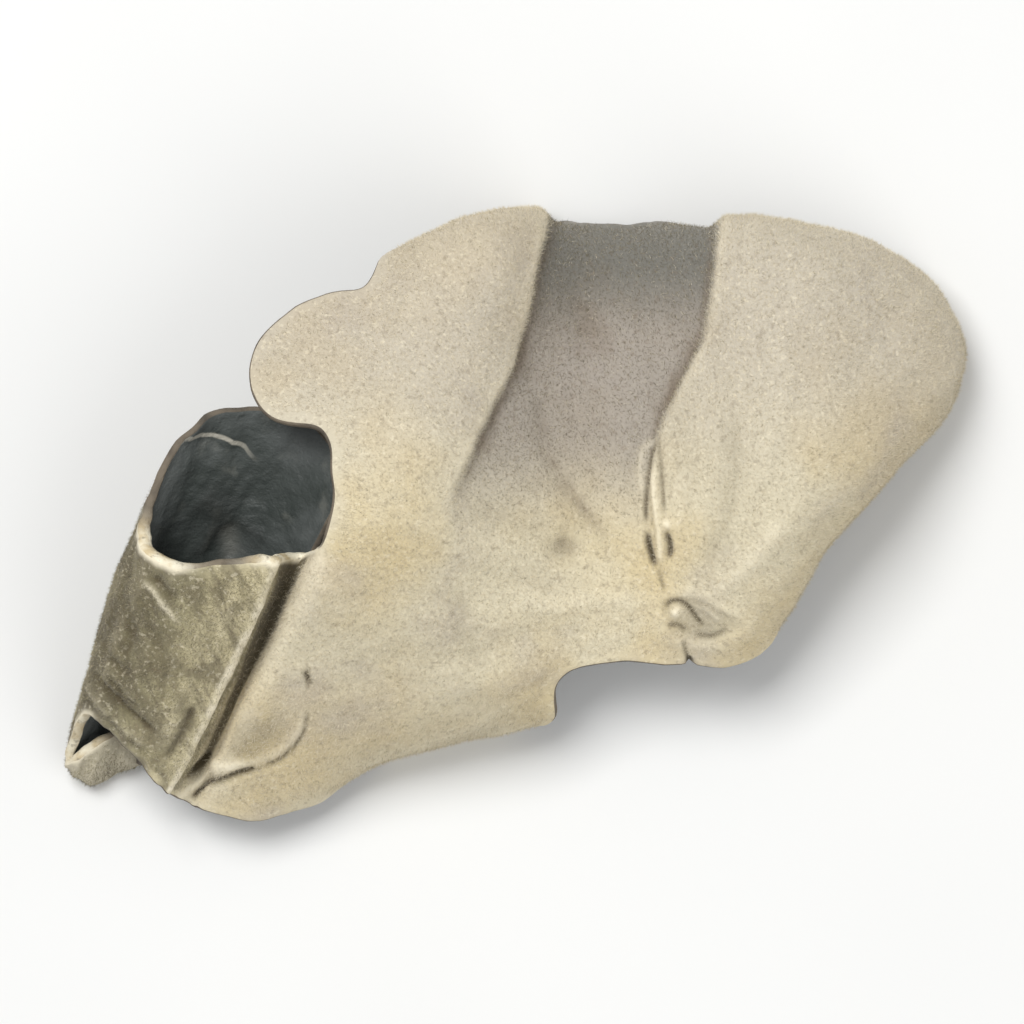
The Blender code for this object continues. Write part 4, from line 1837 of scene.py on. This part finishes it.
@dataclass
class Down:
    """The short down that covers the back, one mesh for each kind of hair."""

    flesh: Flesh
    length_spread: Pair = (0.55, 1.25)
    bare_margin: float = 0.35
    full_margin: float = 0.85
    foot_room: float = 0.5  # no hair stands lower than this
    full_height: float = 0.9
    bare_marks: float = 0.8  # how bare the skin's marks are, so that their pale wear and painted shade show
    patches: Grain = Grain(41, 4.0, 3)
    tufts: Grain = Grain(42, 2.2, 3)
    flank: Pair = (12.0, 19.0)  # girths between which the painted shade of the funnel's flank sets in
    scar_depth: float = 6.0  # height of the place that the hairs are swept away from
    sweep: float = 0.5

    def __post_init__(self) -> None:
        """Makes the node tree that grows the hairs."""
        self.tree = self.hair_tree()

    def hair_tree(self) -> bpy.types.NodeTree:
        """The Geometry Nodes that stand hairs on a skin and join them into one mesh.

        Returns:
            The tree.
        """
        tree = bpy.data.node_groups.new("grow_down", "GeometryNodeTree")
        face = tree.interface
        face.new_socket("Skin", in_out="INPUT", socket_type="NodeSocketGeometry")
        for name in ("Density", "Length", "Width", "Lean", "Shortest", "Longest"):
            face.new_socket(name, in_out="INPUT", socket_type="NodeSocketFloat")
        face.new_socket("Seed", in_out="INPUT", socket_type="NodeSocketInt")
        face.new_socket("Finish", in_out="INPUT", socket_type="NodeSocketMaterial")
        face.new_socket("Hairs", in_out="OUTPUT", socket_type="NodeSocketGeometry")
        add = partial(add_node, tree)
        given = add("NodeGroupInput").outputs
        cover = add("GeometryNodeInputNamedAttribute", {"Name": "cover"}, data_type="FLOAT")
        density = add("ShaderNodeMath", {0: given["Density"], 1: cover.outputs[0]}, operation="MULTIPLY")
        spread = add(
            "GeometryNodeDistributePointsOnFaces",
            {"Mesh": given["Skin"], "Density": density.outputs[0], "Seed": given["Seed"]},
            distribute_method="RANDOM",
        )
        comb = add("GeometryNodeInputNamedAttribute", {"Name": "comb"}, data_type="FLOAT_VECTOR")
        chance = add(
            "FunctionNodeRandomValue",
            {0: (-1.0, -1.0, -1.0), 1: (1.0, 1.0, 1.0), "Seed": given["Seed"]},
            data_type="FLOAT_VECTOR",
        )
        swept = add("ShaderNodeVectorMath", {0: chance.outputs[0], 1: comb.outputs[0]}, operation="ADD")
        inputs = {0: swept.outputs[0], "Scale": given["Lean"]}
        leaning = add("ShaderNodeVectorMath", inputs, operation="SCALE")
        inputs = {0: spread.outputs["Normal"], 1: leaning.outputs[0]}
        way = add("ShaderNodeVectorMath", inputs, operation="ADD")
        turn = add("FunctionNodeAlignRotationToVector", {"Vector": way.outputs[0]}, axis="Z")
        inputs = {2: given["Shortest"], 3: given["Longest"], "Seed": given["Seed"]}
        size = add("FunctionNodeRandomValue", inputs, data_type="FLOAT")
        hair = add(
            "GeometryNodeMeshCone",
            {"Vertices": 3, "Radius Bottom": given["Width"], "Radius Top": 0.0, "Depth": given["Length"]},
            fill_type="NGON",
        )
        standing = add(
            "GeometryNodeInstanceOnPoints",
            {
                "Points": spread.outputs["Points"],
                "Instance": hair.outputs["Mesh"],
                "Rotation": turn.outputs[0],
                "Scale": size.outputs[1],
            },
        )
        joined = add("GeometryNodeRealizeInstances", {0: standing.outputs[0]})
        inputs = {"Geometry": joined.outputs[0], "Material": given["Finish"]}
        dressed = add("GeometryNodeSetMaterial", inputs)
        add("NodeGroupOutput", {0: dressed.outputs[0]})
        return tree

    def cover(self, stand: Stand) -> Array:
        """How densely a kind of hair stands.

        Args:
            stand: Where it grows.

        Returns:
            The share of its full density at each point.
        """
        flesh, flat, funnel = self.flesh, self.flesh.sheet.flat, self.flesh.funnel
        marks = flesh.marks[Side.BACK]
        open_skin = ease(flesh.edge, self.bare_margin, self.full_margin)
        open_skin *= ease(flesh.back[:, 2], self.foot_room, self.full_height)
        open_skin *= 1.0 - np.clip(self.bare_marks * (marks.pale + marks.dark + flesh.crest), 0.0, 1.0)
        patches = ease(self.patches.heights(flat), -0.4, 0.4)
        tufts = ease(self.tufts.heights(flat), -0.3, 0.3)
        flank = ease(flesh.sheet.girth, *self.flank)
        # Shares of its own stretch, of the patches or tufts there, and of the painted shade of the funnel's
        # flank and of the valley.
        share = {
            Stand.LAMINA: (1.0 - funnel) * (0.6 + 0.4 * patches) * (1.0 - 0.95 * flesh.shaded_valley),
            Stand.MOTTLE: (1.0 - 0.8 * funnel) * (1.0 - 0.65 * patches) * (1.0 - 0.9 * flesh.shaded_valley),
            Stand.FUNNEL: 0.05 + 0.95 * funnel * (1.0 - 0.45 * flank) * (1.0 - 0.7 * tufts),
            Stand.TUFTS_AND_SHADE: funnel * tufts * (0.35 + 0.65 * flank) + 0.35 * flesh.shaded_valley,
        }[stand]
        return share * open_skin

    def comb(self) -> Array:
        """The way in which the hairs are swept, away from the scar.

        Returns:
            The direction at each point, along the skin.
        """
        place, out = self.flesh.back, self.flesh.out
        away = unit(place - np.array((*self.flesh.scar.middle, self.scar_depth)))
        return unit(away - out * (away * out).sum(axis=1)[:, None]) * self.sweep

    def grown(self, hairs: Hairs) -> bpy.types.Object:
        """One kind of hair as a plain mesh.

        Args:
            hairs: The kind.

        Returns:
            The object.
        """
        faces, cover = self.flesh.sheet.faces, self.cover(hairs.stand)
        back = to_metres(self.flesh.back)
        mesh = bpy.data.meshes.new(hairs.name)
        mesh.from_pydata(back, [], faces.tolist())
        mesh.shade_smooth()
        set_values(mesh, "cover", cover)
        comb = mesh.attributes.new("comb", "FLOAT_VECTOR", "POINT")
        comb.data.foreach_set("vector", self.comb().astype(np.float32).ravel())
        a, b, c = (back[faces[:, corner]] for corner in range(3))
        areas = np.linalg.norm(np.cross(b - a, c - a), axis=1) / 2.0
        covered = float((areas * cover[faces].mean(axis=1)).sum())
        down = bpy.data.objects.new(hairs.name, mesh)
        bpy.context.scene.collection.objects.link(down)
        modifier = down.modifiers.new("down", "NODES")
        modifier.node_group = self.tree
        values = {
            "Density": hairs.count / covered,
            "Length": hairs.length * MM,
            "Width": hairs.width * MM / 2.0,
            "Lean": hairs.lean,
            "Shortest": self.length_spread[0],
            "Longest": self.length_spread[1],
            "Seed": hairs.seed,
            "Finish": hairs.finish.material(),
        }
        for item in self.tree.interface.items_tree:
            if item.in_out == "INPUT" and item.name in values:
                modifier[item.identifier] = values[item.name]
        graph = bpy.context.evaluated_depsgraph_get()
        plain = bpy.data.meshes.new_from_object(down.evaluated_get(graph))
        down.modifiers.clear()
        down.data = plain
        bpy.data.meshes.remove(mesh)
        plain.name = hairs.name
        return down


@dataclass
class WoodEar:
    """The whole mushroom."""

    spacing: float = 0.27
    row_spacing: float = 0.22

    def build(self) -> list[bpy.types.Object]:
        """Makes and dresses every piece.

        Returns:
            The flesh, then the down.
        """
        lamina = Lamina()
        flesh = Flesh(Sheet.grown(lamina, Roll(lamina), self.spacing, self.row_spacing))
        flesh.shape()
        finishes = [BackSkin().material(), HollowSkin().material(), MarginSkin().material()]
        ear = flesh.finished(finishes)
        down = Down(flesh)
        pieces = [ear] + [down.grown(hairs) for hairs in KINDS_OF_HAIR]
        for piece in pieces:
            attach(piece, BODY)
        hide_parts(NODE)
        return pieces


@dataclass(frozen=True)
class Lamp:
    """A square light: where it stands, its side and its power in watts."""

    name: str
    place: tuple[float, float, float]
    size: float
    power: float


@dataclass
class Studio:
    """A pale floor, soft lights and a camera that looks straight down."""

    view_width: float = 0.068
    camera_height: float = 0.6
    film_width: float = 36.0
    nearest: float = 0.01
    floor_size: float = 4.0
    floor_gap: float = 0.00005
    light_paper: Colour = paint(230, 230, 228)
    dark_paper: Colour = paint(226, 226, 224)
    paper_mottle: Mottle = Mottle(0.06, 2.0, Fade(0.3, 0.7))
    sky: Colour = paint(245, 246, 248)
    sky_strength: float = 0.42
    aim: tuple[float, float, float] = (0.0, 0.0, 0.01)
    lamps: tuple[Lamp, ...] = (
        Lamp("key", (-0.15, 0.2, 0.5), 0.26, 2.6),
        Lamp("fill", (0.36, -0.26, 0.42), 0.6, 1.3),
    )

    def floor(self) -> None:
        """The floor, just under the mushroom."""
        bpy.ops.mesh.primitive_plane_add(size=self.floor_size, location=(0.0, 0.0, -self.floor_gap))
        floor = bpy.context.object
        floor.name = "floor"
        paper = Finish("pale_paper")
        colour = paper.layered(self.dark_paper, (self.light_paper, paper.mottle(self.paper_mottle)))
        floor.data.materials.append(paper.dress(Base_Color=colour, Roughness=0.9, Specular_IOR_Level=0.2))

    def light(self, lamp: Lamp) -> None:
        """Sets up one light, facing the mushroom.

        Args:
            lamp: What it is like.
        """
        data = bpy.data.lights.new(lamp.name, "AREA")
        data.size = lamp.size
        data.energy = lamp.power
        light = bpy.data.objects.new(lamp.name, data)
        light.location = lamp.place
        light.rotation_euler = (Vector(self.aim) - Vector(lamp.place)).to_track_quat("-Z", "Y").to_euler()
        bpy.context.scene.collection.objects.link(light)

    def camera(self) -> None:
        """Sets up the camera, above the middle."""
        data = bpy.data.cameras.new("camera")
        data.sensor_width = self.film_width
        data.lens = data.sensor_width * self.camera_height / self.view_width
        data.clip_start = self.nearest
        camera = bpy.data.objects.new("camera", data)
        camera.location = (0.0, 0.0, self.camera_height)
        bpy.context.scene.collection.objects.link(camera)
        bpy.context.scene.camera = camera

    def build(self) -> None:
        """Sets it all up."""
        scene = bpy.context.scene
        self.floor()
        for lamp in self.lamps:
            self.light(lamp)
        world = bpy.data.worlds.new("studio")
        scene.world = world
        world.use_nodes = True
        backdrop = world.node_tree.nodes["Background"].inputs
        backdrop["Color"].default_value = self.sky
        backdrop["Strength"].default_value = self.sky_strength
        self.camera()
        scene.view_settings.view_transform = "Standard"


def main() -> None:
    """Builds the mushroom and the studio."""
    logging.basicConfig(level=logging.INFO, format="%(name)s: %(message)s")
    for piece in WoodEar().build():
        log.info("%s: %d faces", piece.name, len(piece.data.polygons))
    Studio().build()


if __name__ == "__main__":
    main()
